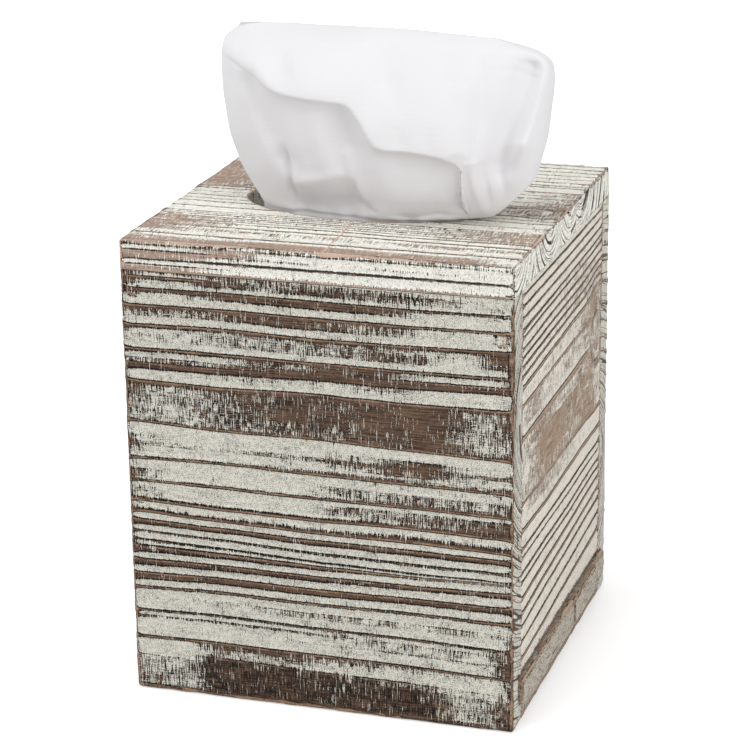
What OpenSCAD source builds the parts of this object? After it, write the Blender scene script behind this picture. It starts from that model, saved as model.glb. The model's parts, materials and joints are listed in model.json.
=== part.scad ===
// Square wooden cover for an upright box of facial tissues. The bottom slides out to the right in
// grooves of the front and back boards, and one tissue stands up out of the oval opening in the top.
// The origin is on the surface that the cover stands on, below the middle of the case.

/* [Case] */
// Width of the case, from left to right
case_w = 140; // [130:1:200]
// Depth of the case, from front to back
case_d = 140; // [130:1:200]
// Height of the case, with its top board
case_h = 168; // [140:1:220]
// Thickness of every board of the case
board_t = 11; // [9:0.5:14]
// Width of the sanded flat along the outer edges
ease = 1.2; // [0.4:0.1:2]
// Depth to which the brush cut the soft grain
valley_depth = 0.5; // [0.3:0.1:0.8]

/* [Opening in the top] */
// Length of the oval opening, from left to right
mouth_w = 94; // [84:1:104]
// Width of the oval opening, from front to back
mouth_d = 52; // [46:1:64]

/* [Slide-out bottom] */
// Thickness of the slats
slat_t = 9; // [7:0.5:12]
// Depth of the grooves in the front and back boards
groove_depth = 4; // [3:0.5:6]
// Gap under the slats, in their grooves and over the rail
under_play = 0.2; // [0.1:0.05:0.5]
// Gap over the slats, in their grooves and under the right board
over_play = 0.6; // [0.2:0.1:1]
// Gap between the slats and the bottoms of the grooves, and at their inner ends
side_play = 0.3; // [0.2:0.05:0.6]
// Height of the rail under the slot
rail_h = 8; // [6:0.5:12]
// How far the front slat's end stands out of the right side
front_slat_proud = 2; // [0.5:0.1:2.4]
// How far the middle slat's end stands out of the right side
middle_slat_proud = 2.7; // [0.5:0.1:3]
// How far the back slat's end stands out of the right side
back_slat_proud = 1.4; // [0.5:0.1:2.4]

/* [Brads] */
// Length of a brad
brad_len = 28; // [20:1:32]
// Diameter of its shank
brad_d = 1.2; // [1:0.1:1.6]
// Diameter of its head
brad_head_d = 2; // [1.8:0.1:2.6]
// Thickness of its head
brad_head_t = 0.8; // [0.5:0.1:1.2]
// Depth of its head below the face of the board
brad_sink = 0.4; // [0.2:0.1:1]
// Distance of the brads from the side of the case
brad_inset = 4.5; // [3:0.5:6]

/* [Tissue] */
// Width of the tissue where it is fullest
tissue_w = 122; // [100:1:126]
// Height of the tissue above the top board
tissue_rise = 65; // [50:1:80]
// Depth of the tissue, from front to back, where it is fullest
tissue_depth = 46; // [36:1:52]
// Length of the tissue that hangs below the top board
tissue_tail = 8.5; // [4:0.5:12]
// Gap between the tissue and the rim of the opening
tissue_play = 0.3; // [0.2:0.05:0.6]

/* [Hidden] */

// Overrun of every cut, past the face that it opens
over = 1;
wall_h = case_h - board_t;
inner_w = case_w - 2 * board_t;
inner_d = case_d - 2 * board_t;

// The slot that the bottom slides in, and the slats in it
slot_top = rail_h + under_play + slat_t + over_play;
slat_z = rail_h + under_play;
slats_w = inner_d + 2 * (groove_depth - side_play);
slat_start = side_play - inner_w / 2;
// Shares of the bottom's width, from the front slat to the back one
slat_width_shares = [0.59, 0.285, 0.125];

// The main valleys of the brushed grain, [high and low edge at the near end, high and low edge at the
// far end], as shares of the height of the walls. The near end is at the left of who faces the board.
front_valley_shares = [[0.941, 0.924, 0.943, 0.925], [0.782, 0.744, 0.787, 0.754],
                       [0.648, 0.614, 0.634, 0.605], [0.555, 0.516, 0.554, 0.513],
                       [0.508, 0.488, 0.504, 0.483], [0.429, 0.415, 0.42, 0.404],
                       [0.403, 0.387, 0.394, 0.375], [0.341, 0.324, 0.346, 0.335],
                       [0.308, 0.292, 0.322, 0.306], [0.276, 0.261, 0.289, 0.271],
                       [0.249, 0.199, 0.257, 0.201], [0.174, 0.13, 0.173, 0.131]];
right_valley_shares = [[0.981, 0.96, 0.983, 0.967], [0.93, 0.908, 0.94, 0.924],
                       [0.862, 0.848, 0.881, 0.864], [0.773, 0.738, 0.792, 0.746],
                       [0.442, 0.406, 0.442, 0.406], [0.381, 0.349, 0.381, 0.361],
                       [0.325, 0.294, 0.336, 0.318], [0.287, 0.26, 0.312, 0.289],
                       [0.252, 0.229, 0.283, 0.26], [0.224, 0.19, 0.255, 0.223],
                       [0.185, 0.149, 0.218, 0.183]];
back_valley_shares = [[0.981, 0.953, 0.978, 0.952], [0.935, 0.913, 0.934, 0.916],
                      [0.824, 0.796, 0.829, 0.8], [0.502, 0.465, 0.497, 0.462],
                      [0.422, 0.399, 0.42, 0.4], [0.345, 0.312, 0.35, 0.317],
                      [0.306, 0.271, 0.311, 0.275], [0.161, 0.129, 0.159, 0.127],
                      [0.115, 0.07, 0.113, 0.07]];
left_valley_shares = [[0.977, 0.946, 0.972, 0.939], [0.932, 0.898, 0.925, 0.896],
                      [0.796, 0.772, 0.803, 0.775], [0.766, 0.715, 0.768, 0.71],
                      [0.557, 0.521, 0.561, 0.525], [0.476, 0.452, 0.482, 0.454],
                      [0.371, 0.341, 0.369, 0.338], [0.289, 0.259, 0.287, 0.257],
                      [0.195, 0.155, 0.195, 0.154], [0.15, 0.112, 0.149, 0.111]];
// The same of the top board, as shares of the depth of the case from its front
top_valley_shares = [[0.97, 0.943, 0.969, 0.941], [0.936, 0.903, 0.936, 0.906],
                     [0.866, 0.836, 0.867, 0.837], [0.52, 0.489, 0.524, 0.487],
                     [0.484, 0.451, 0.488, 0.45], [0.389, 0.346, 0.386, 0.347],
                     [0.34, 0.301, 0.341, 0.3], [0.203, 0.169, 0.203, 0.169],
                     [0.11, 0.084, 0.111, 0.084]];

// Brads: a tip as long as two shank diameters, at shares of the height of the walls
brad_tip = 2 * brad_d;
brad_x = case_w / 2 - brad_inset;
left_brad_shares = [0.185, 0.478, 0.943];
right_brad_shares = [0.185, 0.567, 0.908, 0.964];
back_brad_shares = [0.185, 0.53, 0.943];

// Tissue: heights of its rings above the top board, as shares of its rise
tissue_ring_shares = [0, 0.04, 0.1, 0.17, 0.25, 0.33, 0.41, 0.49, 0.57, 0.65, 0.73, 0.8, 0.86,
                      0.91, 0.95, 0.98, 1];
// Its left and right edges, [height, place] as shares of the rise and of half the width
left_edge_shares = [[-1, -0.6], [0, -0.63], [0.09, -0.72], [0.2, -0.784], [0.31, -0.825],
                    [0.43, -0.859], [0.62, -0.885], [0.75, -0.89], [0.86, -0.87], [0.93, -0.834],
                    [0.97, -0.76], [1, -0.62]];
right_edge_shares = [[-1, 0.7], [0, 0.73], [0.046, 0.828], [0.09, 0.893], [0.2, 0.997],
                     [0.31, 1.046], [0.43, 1.075], [0.62, 1.108], [0.75, 1.118], [0.86, 1.1],
                     [0.93, 0.98], [0.97, 0.77], [1, 0.2]];
// The line along which its front stands out furthest, [place, height], which drops to the right
ridge_shares = [[-0.9, 0.82], [-0.43, 0.66], [-0.08, 0.61], [0.08, 0.4], [0.46, 0.37],
                [0.62, 0.32], [0.72, 0.2], [1.1, 0.15]];
// Its front at the rim, at the ridge and at the top fold, as shares of its depth
rim_front_share = -0.56;
ridge_front_share = -0.8;
top_front_share = -0.24;
// Its middle, where its left and right edges lie
middle_share = -0.18;
// Its back, [height, place]
back_shares = [[-1, 0.1], [0, 0.15], [0.2, 0.2], [0.45, 0.19], [0.7, 0.1], [0.86, 0], [1, -0.14]];
// How boxy its rings are: 1 is an ellipse, and less has fuller corners
ring_round_share = 0.62;
// How fast it spreads out above the rim of the opening
spread_share = 0.725;
ring_points = 44;

module eased_outline(w, h) {
    polygon([[-w / 2 + ease, 0], [w / 2 - ease, 0], [w / 2, ease], [w / 2, h - ease],
             [w / 2 - ease, h], [-w / 2 + ease, h], [-w / 2, h - ease], [-w / 2, ease]]);
}

// The whole case as one block with sanded edges, from which each board takes its part
module case_block() {
    intersection() {
        translate([0, -case_d / 2, 0]) linear_extrude(case_h) eased_outline(case_w, case_d);
        translate([0, case_d / 2, 0]) rotate([90, 0, 0]) linear_extrude(case_d)
            eased_outline(case_w, case_h);
        translate([-case_w / 2, 0, 0]) rotate([90, 0, 90]) linear_extrude(case_w)
            eased_outline(case_d, case_h);
    }
}

// A brad that is driven along +Y from the face at y = 0, and the hole that it makes
module brad() {
    rotate([-90, 0, 0]) rotate_extrude($fn = 32)
        polygon([[0, brad_sink], [brad_head_d / 2, brad_sink],
                 [brad_head_d / 2, brad_sink + brad_head_t], [brad_d / 2, brad_sink + brad_head_t],
                 [brad_d / 2, brad_len - brad_tip], [0, brad_len]]);
}

module brad_hole() {
    brad();
    translate([0, brad_sink, 0]) rotate([90, 0, 0])
        cylinder(h = brad_sink + over, d = brad_head_d, $fn = 32);
}

// Places its child at each brad of one corner: side is -1 at the left, face is -1 at the front
module at_brads(side, face, height_shares) {
    for (share = height_shares)
        translate([side * brad_x, face * case_d / 2, share * wall_h])
            rotate([0, 0, face < 0 ? 0 : 180]) children();
}

module all_brad_holes() {
    at_brads(-1, -1, left_brad_shares) brad_hole();
    at_brads(1, -1, right_brad_shares) brad_hole();
    at_brads(-1, 1, back_brad_shares) brad_hole();
    at_brads(1, 1, back_brad_shares) brad_hole();
}

// The groove for the bottom, in the inner face of the front board: open at the right end
module groove() {
    translate([-inner_w / 2, -inner_d / 2 - groove_depth, rail_h])
        cube([inner_w + board_t + over, groove_depth + over, slot_top - rail_h]);
}

// Cuts the valleys into a face that looks along +Z, whose near end is at x = 0 and lower edge at y = 0
module valleys(length, height, shares) {
    for (edges = shares)
        translate([0, 0, -valley_depth]) linear_extrude(valley_depth + over)
            polygon([[-over, edges[0] * height], [-over, edges[1] * height],
                     [length + over, edges[3] * height], [length + over, edges[2] * height]]);
}

module top_board() {
    color("#e4e1d4") difference() {
        intersection() {
            case_block();
            translate([-case_w / 2, -case_d / 2, wall_h]) cube([case_w, case_d, board_t]);
        }
        translate([0, 0, wall_h - over]) scale([1, mouth_d / mouth_w, 1])
            cylinder(h = board_t + 2 * over, d = mouth_w, $fn = 96);
        translate([-case_w / 2, -case_d / 2, case_h]) valleys(case_w, case_d, top_valley_shares);
    }
}

module front_board() {
    color("#cfcdc0") difference() {
        intersection() {
            case_block();
            translate([-case_w / 2, -case_d / 2, 0]) cube([case_w, board_t, wall_h]);
        }
        groove();
        all_brad_holes();
        translate([-case_w / 2, -case_d / 2, 0]) rotate([90, 0, 0])
            valleys(case_w, wall_h, front_valley_shares);
    }
}

module back_board() {
    color("#cfcdc0") difference() {
        intersection() {
            case_block();
            translate([-case_w / 2, inner_d / 2, 0]) cube([case_w, board_t, wall_h]);
        }
        mirror([0, 1, 0]) groove();
        all_brad_holes();
        translate([case_w / 2, case_d / 2, 0]) rotate([90, 0, 180])
            valleys(case_w, wall_h, back_valley_shares);
    }
}

module left_board() {
    color("#d9d3c8") difference() {
        intersection() {
            case_block();
            translate([-case_w / 2, -inner_d / 2, 0]) cube([board_t, inner_d, wall_h]);
        }
        all_brad_holes();
        translate([-case_w / 2, inner_d / 2, 0]) rotate([90, 0, -90])
            valleys(inner_d, wall_h, left_valley_shares);
    }
}

// The right board ends above the slot, and its lower outer edge is sanded too
module right_board() {
    color("#d9d3c8") difference() {
        intersection() {
            case_block();
            translate([inner_w / 2, -inner_d / 2, slot_top])
                cube([board_t, inner_d, wall_h - slot_top]);
        }
        translate([case_w / 2, inner_d / 2 + over, slot_top]) rotate([90, 0, 0])
            linear_extrude(inner_d + 2 * over)
                polygon([[-ease, -over], [-ease, 0], [0, ease], [over, ease], [over, -over]]);
        all_brad_holes();
        translate([case_w / 2, -inner_d / 2, 0]) rotate([90, 0, 90])
            valleys(inner_d, wall_h, right_valley_shares);
    }
}

module right_rail() {
    color("#b49a80") intersection() {
        case_block();
        translate([inner_w / 2, -inner_d / 2, 0]) cube([board_t, inner_d, rail_h]);
    }
}

// One slat of the bottom, whose outer end is sanded on all four edges
module slat(start_share, width_share, proud) {
    y0 = (start_share - 1 / 2) * slats_w;
    y1 = y0 + width_share * slats_w;
    x1 = case_w / 2 + proud;
    color("#b08a66") intersection() {
        translate([0, 0, slat_z]) linear_extrude(slat_t)
            polygon([[slat_start, y0], [x1 - ease, y0], [x1, y0 + ease], [x1, y1 - ease],
                     [x1 - ease, y1], [slat_start, y1]]);
        translate([0, y1, slat_z]) rotate([90, 0, 0]) linear_extrude(y1 - y0)
            polygon([[slat_start, 0], [x1 - ease, 0], [x1, ease], [x1, slat_t - ease],
                     [x1 - ease, slat_t], [slat_start, slat_t]]);
    }
}

module bottom_slat_front() {
    slat(0, slat_width_shares[0], front_slat_proud);
}

module bottom_slat_middle() {
    slat(slat_width_shares[0], slat_width_shares[1], middle_slat_proud);
}

module bottom_slat_back() {
    slat(slat_width_shares[0] + slat_width_shares[1], slat_width_shares[2], back_slat_proud);
}

module front_left_brads() {
    color("#8b8a84") at_brads(-1, -1, left_brad_shares) brad();
}

module front_right_brads() {
    color("#8b8a84") at_brads(1, -1, right_brad_shares) brad();
}

module back_left_brads() {
    color("#8b8a84") at_brads(-1, 1, back_brad_shares) brad();
}

module back_right_brads() {
    color("#8b8a84") at_brads(1, 1, back_brad_shares) brad();
}

// The tissue's front at a place x across and a height h above the top board, both as shares
function front_at(x, h) =
    let(ridge = lookup(x, ridge_shares), out = ridge_front_share - rim_front_share)
    h < 0 ? rim_front_share
    : h < ridge ? rim_front_share + out * pow(h / ridge, 0.8)
    : ridge_front_share + (top_front_share - ridge_front_share) * pow((h - ridge) / (1 - ridge), 2);

// Pulls a point that lies outside the rim's ellipse in to it, less and less above the rim
function held_in(point, h) =
    let(spread = 1 + spread_share * sqrt(max(0, h)),
        reach = norm([point[0] / (mouth_w / 2 - tissue_play), point[1] / (mouth_d / 2 - tissue_play)]))
    point / max(1, reach / spread);

function rounded(part) = sign(part) * pow(abs(part), ring_round_share);

// One point of the tissue's ring at height h, at an angle round it
function tissue_point(h, angle) =
    let(left = lookup(h, left_edge_shares), right = lookup(h, right_edge_shares),
        x = (left + right) / 2 + (right - left) / 2 * rounded(cos(angle)),
        side = sin(angle) < 0 ? front_at(x, h) : lookup(h, back_shares),
        y = middle_share + (side - middle_share) * abs(rounded(sin(angle))))
    held_in([x * tissue_w / 2, y * tissue_depth], h);

// The tissue below the rim keeps the shape that it has there, and narrows a little at its end
tissue_rings = concat([[wall_h - tissue_tail, -1], [wall_h, 0]],
                      [for (h = tissue_ring_shares) [case_h + h * tissue_rise, h]]);

// A puffed sheet that is gathered in the opening and folded over at the top
module tissue() {
    rings = len(tissue_rings);
    points = [for (ring = tissue_rings, i = [0 : ring_points - 1])
                  let(at = tissue_point(ring[1], 360 * i / ring_points)) [at[0], at[1], ring[0]]];
    sides = [for (r = [0 : rings - 2], i = [0 : ring_points - 1])
                 let(a = r * ring_points + i, b = r * ring_points + (i + 1) % ring_points)
                 each [[a, a + ring_points, b], [b, a + ring_points, b + ring_points]]];
    last = (rings - 1) * ring_points;
    color("white") polyhedron(points, concat(sides, [[for (i = [0 : ring_points - 1]) i]],
        [[for (i = [ring_points - 1 : -1 : 0]) last + i]]));
}

top_board();
front_board();
back_board();
left_board();
right_board();
right_rail();
bottom_slat_front();
bottom_slat_middle();
bottom_slat_back();
front_left_brads();
front_right_brads();
back_left_brads();
back_right_brads();
tissue();
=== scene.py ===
"""Looks of a square wooden cover for an upright box of tissues.

The boards are deep-grain fir. They were torched, wire-brushed until the hard grain stood out, painted
off-white, and rubbed across the grain, so paint stays in the valleys, char shows at their edges, and the
ridges are bare brown wood. Lengths are in millimetres until a mesh is made.
"""
import json
from functools import partial

import bpy
import numpy as np
from mathutils import Matrix, Vector

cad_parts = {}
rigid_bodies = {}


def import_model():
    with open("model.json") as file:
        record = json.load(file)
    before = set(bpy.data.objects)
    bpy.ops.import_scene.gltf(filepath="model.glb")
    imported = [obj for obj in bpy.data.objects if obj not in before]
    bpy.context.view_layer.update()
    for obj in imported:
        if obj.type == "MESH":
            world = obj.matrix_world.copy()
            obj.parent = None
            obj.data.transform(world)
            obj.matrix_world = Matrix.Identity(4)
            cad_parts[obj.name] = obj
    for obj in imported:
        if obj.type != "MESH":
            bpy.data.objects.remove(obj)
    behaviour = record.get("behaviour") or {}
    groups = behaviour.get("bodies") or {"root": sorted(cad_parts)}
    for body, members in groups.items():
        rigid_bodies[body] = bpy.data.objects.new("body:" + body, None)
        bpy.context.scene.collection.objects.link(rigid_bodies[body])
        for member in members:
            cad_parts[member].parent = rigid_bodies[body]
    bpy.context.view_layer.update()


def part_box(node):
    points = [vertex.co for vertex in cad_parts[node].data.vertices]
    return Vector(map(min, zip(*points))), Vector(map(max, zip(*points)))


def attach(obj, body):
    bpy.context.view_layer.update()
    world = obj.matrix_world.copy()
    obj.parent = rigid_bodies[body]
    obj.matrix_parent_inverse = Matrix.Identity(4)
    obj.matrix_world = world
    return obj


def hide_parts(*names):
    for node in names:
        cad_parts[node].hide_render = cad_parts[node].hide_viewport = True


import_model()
# Metres in a millimetre
MM = 0.001


def box_of(node):
    """Lowest and highest corners of a node of the frame, in millimetres."""
    return [np.array(corner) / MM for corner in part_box(node)]


CASE_LOW = np.array([box_of("left_board")[0][0], box_of("front_board")[0][1], 0.0])
CASE_HIGH = np.array([box_of("right_board")[1][0], box_of("back_board")[1][1], box_of("top_board")[1][2]])
CASE_WIDE, CASE_DEEP = CASE_HIGH[0] - CASE_LOW[0], CASE_HIGH[1] - CASE_LOW[1]
CASE_TOP = CASE_HIGH[2]
BOARD_T = box_of("top_board")[1][2] - box_of("top_board")[0][2]

# Sanding: how far the edges are eased outside, where two boards meet, and round the opening
EASE = 1.2
JOINT_EASE = 0.3
RIM_EASE = 0.7
# How deep the brush cut the soft grain of the boards, the slats and the rail, and the depth of a line of char
VALLEY, SLAT_VALLEY, RAIL_VALLEY = 0.5, 0.3, 0.25
CHAR_DEPTH = 0.1
# Half axes of the oval opening
MOUTH = np.array([47.0, 26.0])
# The groove that the bottom slides in: its height above the foot, its left end, and how deep its floor lies
GROOVE_LOW, GROOVE_HIGH = 8.0, 17.8
GROOVE_START = 11
GROOVE_FLOOR = 7
# Steps of the mesh: across the grain, along it, and down into the boards that are joined at both ends
ROW_STEP = 0.45
COLUMN_STEP = 1.5
JOINED_DEPTH_STEP = 2.0
# The noise has so many random heights each way before it repeats
NOISE_PERIOD = 64
# How far apart the boards lie in the pattern, and a board's back and the wall of the opening from the face
BOARDS_APART, BACK_APART, WALL_APART = 1000, 400, 300


def smooth_noise(x, y, seed):
    """Random heights from -1 to 1 at whole values of x and y, blended between them by 3t^2 - 2t^3."""
    table = np.random.default_rng(seed).uniform(-1, 1, (NOISE_PERIOD, NOISE_PERIOD))
    x, y = np.broadcast_arrays(np.asarray(x, float), np.asarray(y, float))
    ix, iy = np.floor(x).astype(int), np.floor(y).astype(int)
    fx, fy = x - ix, y - iy
    fx, fy = fx * fx * (3 - 2 * fx), fy * fy * (3 - 2 * fy)
    x0, x1 = ix % NOISE_PERIOD, (ix + 1) % NOISE_PERIOD
    y0, y1 = iy % NOISE_PERIOD, (iy + 1) % NOISE_PERIOD
    low = table[x0, y0] * (1 - fx) + table[x1, y0] * fx
    high = table[x0, y1] * (1 - fx) + table[x1, y1] * fx
    return low * (1 - fy) + high * fy


def ramp(x, low, high):
    """0 below low, 1 above high, and 3t^2 - 2t^3 between."""
    t = np.clip((x - low) / (high - low), 0, 1)
    return t * t * (3 - 2 * t)


def step(off, low, high, way):
    """The ramp from low to high, or with way -1 the same ramp met from its other side."""
    rise = ramp(off * way, low, high)
    return rise if way > 0 else 1 - rise


def bell(x, width):
    """1 where x is 0, and less on both sides of it, by e^-(x / width)^2."""
    return np.exp(-(x / width) ** 2)


class Grain:
    """The grain of one face of a board.

    bands are (place at the near end, place at the far end, wear): bands across the grain, in order, each
    reaching to the next one. The wear has digits at equal steps along the board, from 0, all paint, to 9,
    all bare. A row g is one line of the grain. At u along the board it lies at g, plus its slope, a slow wave
    and its swing round a knot, which all fade to nothing at the two edges of the face.
    knots are (u, g, half length, half height, push): grain swings round them.
    spots are (u, g, radius): brad heads, filled and rubbed.
    piths are (depth, g) of the middles of trees, about which the rings of the end grain turn. Each point of
    the end belongs to the nearest one, as where strips are glued edge to edge.
    oval is (u, g, half length, half width) of an opening, round which the rows are kept straight.
    Between the rows of turned, the rings run the other way, so crisp and ragged edges change places.
    scorched are (first row, last row, from u, to u, share): where more of the char was left.
    cracks are (from u, from g, to u, to g): hair cracks across the grain.
    end_line is the width of a line of char on the end grain.
    """

    # Places of the mesh's rows before and after the edge of a band, and in from the edges of the face
    ROWS_AT_EDGE = np.array([-0.35, -0.17, 0, 0.15, 0.35, 0.7])
    ROWS_AT_SIDE = np.array([0, 0.3, 0.6, 0.9, 1.2])
    CLOSEST_ROWS = 0.13
    # How far a row's slow waves go: their reach, length along and length across
    WAVES = ((0.45, 34, 16), (0.12, 9, 5))
    # Where the paint and the relief change, before and after a crisp edge and a ragged one
    PAINT_CRISP, PAINT_RAGGED = (-0.08, 0.08), (-0.5, 0.55)
    RELIEF_CRISP, RELIEF_RAGGED = (-0.5, 0.06), (-0.3, 1.1)
    # How far the ragged edges wander, and how far the bare wood widens at the ends of the board
    RAGGED = 0.16
    BARE_END = 1.5
    # The highest digit of the wear
    ALL_BARE = 9

    def __init__(self, length, first, last, bands, seed, knots=(), spots=(), piths=((30, 60),), valley=VALLEY,
                 oval=None, turned=(0, 0), scorched=(), cracks=(), end_line=0.24):
        self.length, self.first, self.last, self.seed = length, first, last, seed
        self.knots, self.spots, self.piths, self.valley = knots, spots, piths, valley
        self.oval, self.turned, self.scorched, self.cracks = oval, turned, scorched, cracks
        self.end_line = end_line
        self.edges = np.array([(a + b) / 2 for a, b, _ in bands])
        self.slopes = np.array([b - a for a, b, _ in bands])
        self.wear = [np.array(list(wear), float) / self.ALL_BARE for _, _, wear in bands]

    def rows(self, gap=ROW_STEP):
        """The rows of the mesh: close together at each edge of a band, and at most one gap apart."""
        at_edges = (self.edges[1:, None] + self.ROWS_AT_EDGE).ravel()
        rows = np.concatenate([at_edges, self.first + self.ROWS_AT_SIDE, self.last - self.ROWS_AT_SIDE])
        rows = np.sort(rows[(rows >= self.first) & (rows <= self.last)])
        kept = rows[np.concatenate([[True], np.diff(rows) > self.CLOSEST_ROWS])]
        kept[-1] = self.last
        steps = np.ceil(np.diff(kept) / gap).astype(int)
        share = np.arange(steps.sum()) - np.repeat(np.cumsum(steps) - steps, steps)
        filled = np.repeat(kept[:-1], steps) + share * np.repeat(np.diff(kept) / steps, steps)
        return np.append(filled, self.last)

    def across(self, g, u):
        """Where row g lies at u, measured from the first edge of the face."""
        window = ramp(np.minimum(g - self.first, self.last - g), 0, 5)
        slope = np.interp(g, self.edges, self.slopes) * (u / self.length - 0.5)
        wave = sum(reach * smooth_noise(u / along, g / wide, self.seed + i)
                   for i, (reach, along, wide) in enumerate(self.WAVES))
        place = g + window * (slope + wave)
        for at, middle, half_l, half_h, push in self.knots:
            near = np.exp(-((u - at) / (1.3 * half_l)) ** 2 - ((g - middle) / (2.2 * half_h)) ** 2)
            place = place + window * push * near * np.tanh((g - middle) / half_h)
        if self.oval:
            at, middle, half_l, half_w = self.oval
            place = g + (place - g) * ramp(np.hypot((u - at) / half_l, (g - middle) / half_w), 1.02, 1.4)
        return place - self.first

    def band_wear(self, i, u):
        """Wear of band i at u, blended between its digits."""
        return np.interp(u, np.linspace(0, self.length, len(self.wear[i])), self.wear[i])

    def bands_at(self, g, u, line, ends, bare_end):
        """Wear, level, darkness and tan ridge that the bands give. The ridge is rubbed wood with a painted
        highlight.

        Going across, wear jumps up at a crisp edge, where the last hard wood of a year ends: the paint climbs
        a step, then come a dark line, char with painted shadow of the step, and a tan ridge, rubbed bare wood
        with a painted highlight of the lit step. It falls off slowly, and raggedly, through char into the
        next soft valley. The level is the same wear with gentler flanks, for the relief.
        """
        shift = self.RAGGED * smooth_noise(u / 2.3, g / 3, self.seed + 2)
        wear = self.band_wear(0, u)
        level = wear
        dark, ridge = np.zeros(g.shape), np.zeros(g.shape)
        widths = np.append(np.diff(self.edges), 2.0)
        for i in range(1, len(self.edges)):
            change = self.band_wear(i, u) - self.band_wear(i - 1, u)
            way = -1 if self.turned[0] < self.edges[i] < self.turned[1] else 1
            crisp = change * way > 0
            off = g - self.edges[i] + bare_end * np.sign(change) + shift * ~crisp
            paint = np.where(crisp, step(off, *self.PAINT_CRISP, way), step(off, *self.PAINT_RAGGED, way))
            relief = np.where(crisp, step(off, *self.RELIEF_CRISP, way), step(off, *self.RELIEF_RAGGED, way))
            wear, level = wear + change * paint, level + change * relief
            sharp = np.clip(np.abs(change) * 1.8, 0, 1) * crisp
            soft = np.clip(np.abs(change) * 1.3, 0, 1) * ~crisp
            inner = off * way
            # The dark line at a crisp edge is char, with painted shadow where the step meets the valley
            dark = np.maximum(dark, sharp * bell(inner + 0.05, line))
            dark = np.maximum(dark, (0.76 if ends else 0.35) * soft * bell(inner + 0.2, 0.42))
            broad = ramp(widths[i] if way > 0 else widths[i - 1], 0.1, 1.2)
            # The tan line below it is rubbed ridge, with a painted highlight where the step faces up
            ridge = np.maximum(ridge, broad * sharp * bell(inner - 0.46, 0.3))
        return wear, level, dark, ridge

    def marks(self, g, u, line=0.2, ends=1.0):
        """Depth, wear, darkness and tan ridge of the face at row g and place u.

        A dark line, of char and at a crisp edge partly painted shadow, is so wide. Towards the ends of the
        board the bare wood widens by its share of e^-d.
        """
        g, u = np.broadcast_arrays(np.asarray(g, float), np.asarray(u, float))
        near_end = np.minimum(u, self.length - u)
        uneven = 0.75 + 0.5 * smooth_noise(9 * (u > self.length / 2), g / 4.5, self.seed + 6)
        bare_end = ends * self.BARE_END * uneven * np.exp(-near_end / 1.2)
        wear, level, dark, ridge = self.bands_at(g, u, line, ends, bare_end)
        wear = wear + 0.06 * smooth_noise(u / 7, g / 2.2, self.seed + 3)
        wear = wear + ends * 0.7 * uneven * np.exp(-near_end / 0.7)
        for first, last, low, high, share in self.scorched:
            here = ramp(g, first - 0.5, first + 0.5) * (1 - ramp(g, last - 0.5, last + 0.5))
            here = here * ramp(u, low - 2, low + 2) * (1 - ramp(u, high - 2, high + 2))
            dark = np.maximum(dark, share * here)
        fibres = smooth_noise(u / 45, g / 0.9, self.seed + 4)
        depth = self.valley * (1 - np.clip(level, 0, 1)) + 0.08 * (1 + fibres) + CHAR_DEPTH * dark
        place = self.across(g, u) + self.first
        # A knot has rings of its own inside a dark outline
        for at, middle, half_l, half_h, _ in self.knots:
            out = np.hypot((u - at) / half_l, (place - middle) / half_h)
            inside = 1 - ramp(out, 0.85, 1.0)
            rings = 0.5 + 0.5 * np.cos(out * 14 + 2 * smooth_noise(u / 4, g / 4, self.seed))
            wear = wear * (1 - inside) + inside * (0.48 + 0.14 * rings)
            ridge = ridge * (1 - inside) + inside * (0.1 + 0.35 * rings)
            depth = depth * (1 - inside) + inside * (0.1 + 0.12 * rings)
            dark = np.maximum(dark * (1 - inside), 0.46 * bell(out - 1, 0.12))
        # A brad head lies in a small dish, with a bare rim and a dark line round it
        for at, middle, radius in self.spots:
            out = np.hypot(u - at, place - middle) / radius
            near = 1 - ramp(out, 1.0, 1.5)
            depth = depth * (1 - near) + near * (0.2 + 0.16 * bell(out, 0.6))
            wear = np.maximum(wear, 0.62 * bell(out - 0.95, 0.22))
            ridge = np.maximum(ridge, 0.9 * bell(out - 0.95, 0.2))
            dark = np.maximum(dark, 0.7 * bell(out - 1.3, 0.16))
        # A crack is a thin bare line that bends a little on its way
        for from_u, from_g, to_u, to_g in self.cracks:
            share = np.clip((g - from_g) / (to_g - from_g), 0, 1)
            bend = 0.25 * smooth_noise(0 * u, g / 1.7, self.seed + 9)
            away = np.hypot(u - from_u - share * (to_u - from_u) - bend, g - from_g - share * (to_g - from_g))
            ridge = np.maximum(ridge, 1.6 * bell(away, 0.35))
            depth = depth + 0.15 * bell(away, 0.3)
        return np.clip(depth, 0.02, None), wear, dark, ridge

    def ring(self, g, w):
        """The row whose ring passes through the end grain at row g and depth w.

        Both are as far from the nearest pith, so the row lies off it by the root of the squares' sum.
        """
        deep, middle = np.array(self.piths, float).T
        nearest = np.abs(g[..., None] - middle).argmin(-1)
        deep, middle = deep[nearest], middle[nearest]
        out = (g - middle) ** 2 + (w - deep) ** 2 - deep ** 2
        return middle + np.sign(g - middle + 1e-9) * np.sqrt(np.abs(out))


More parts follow.
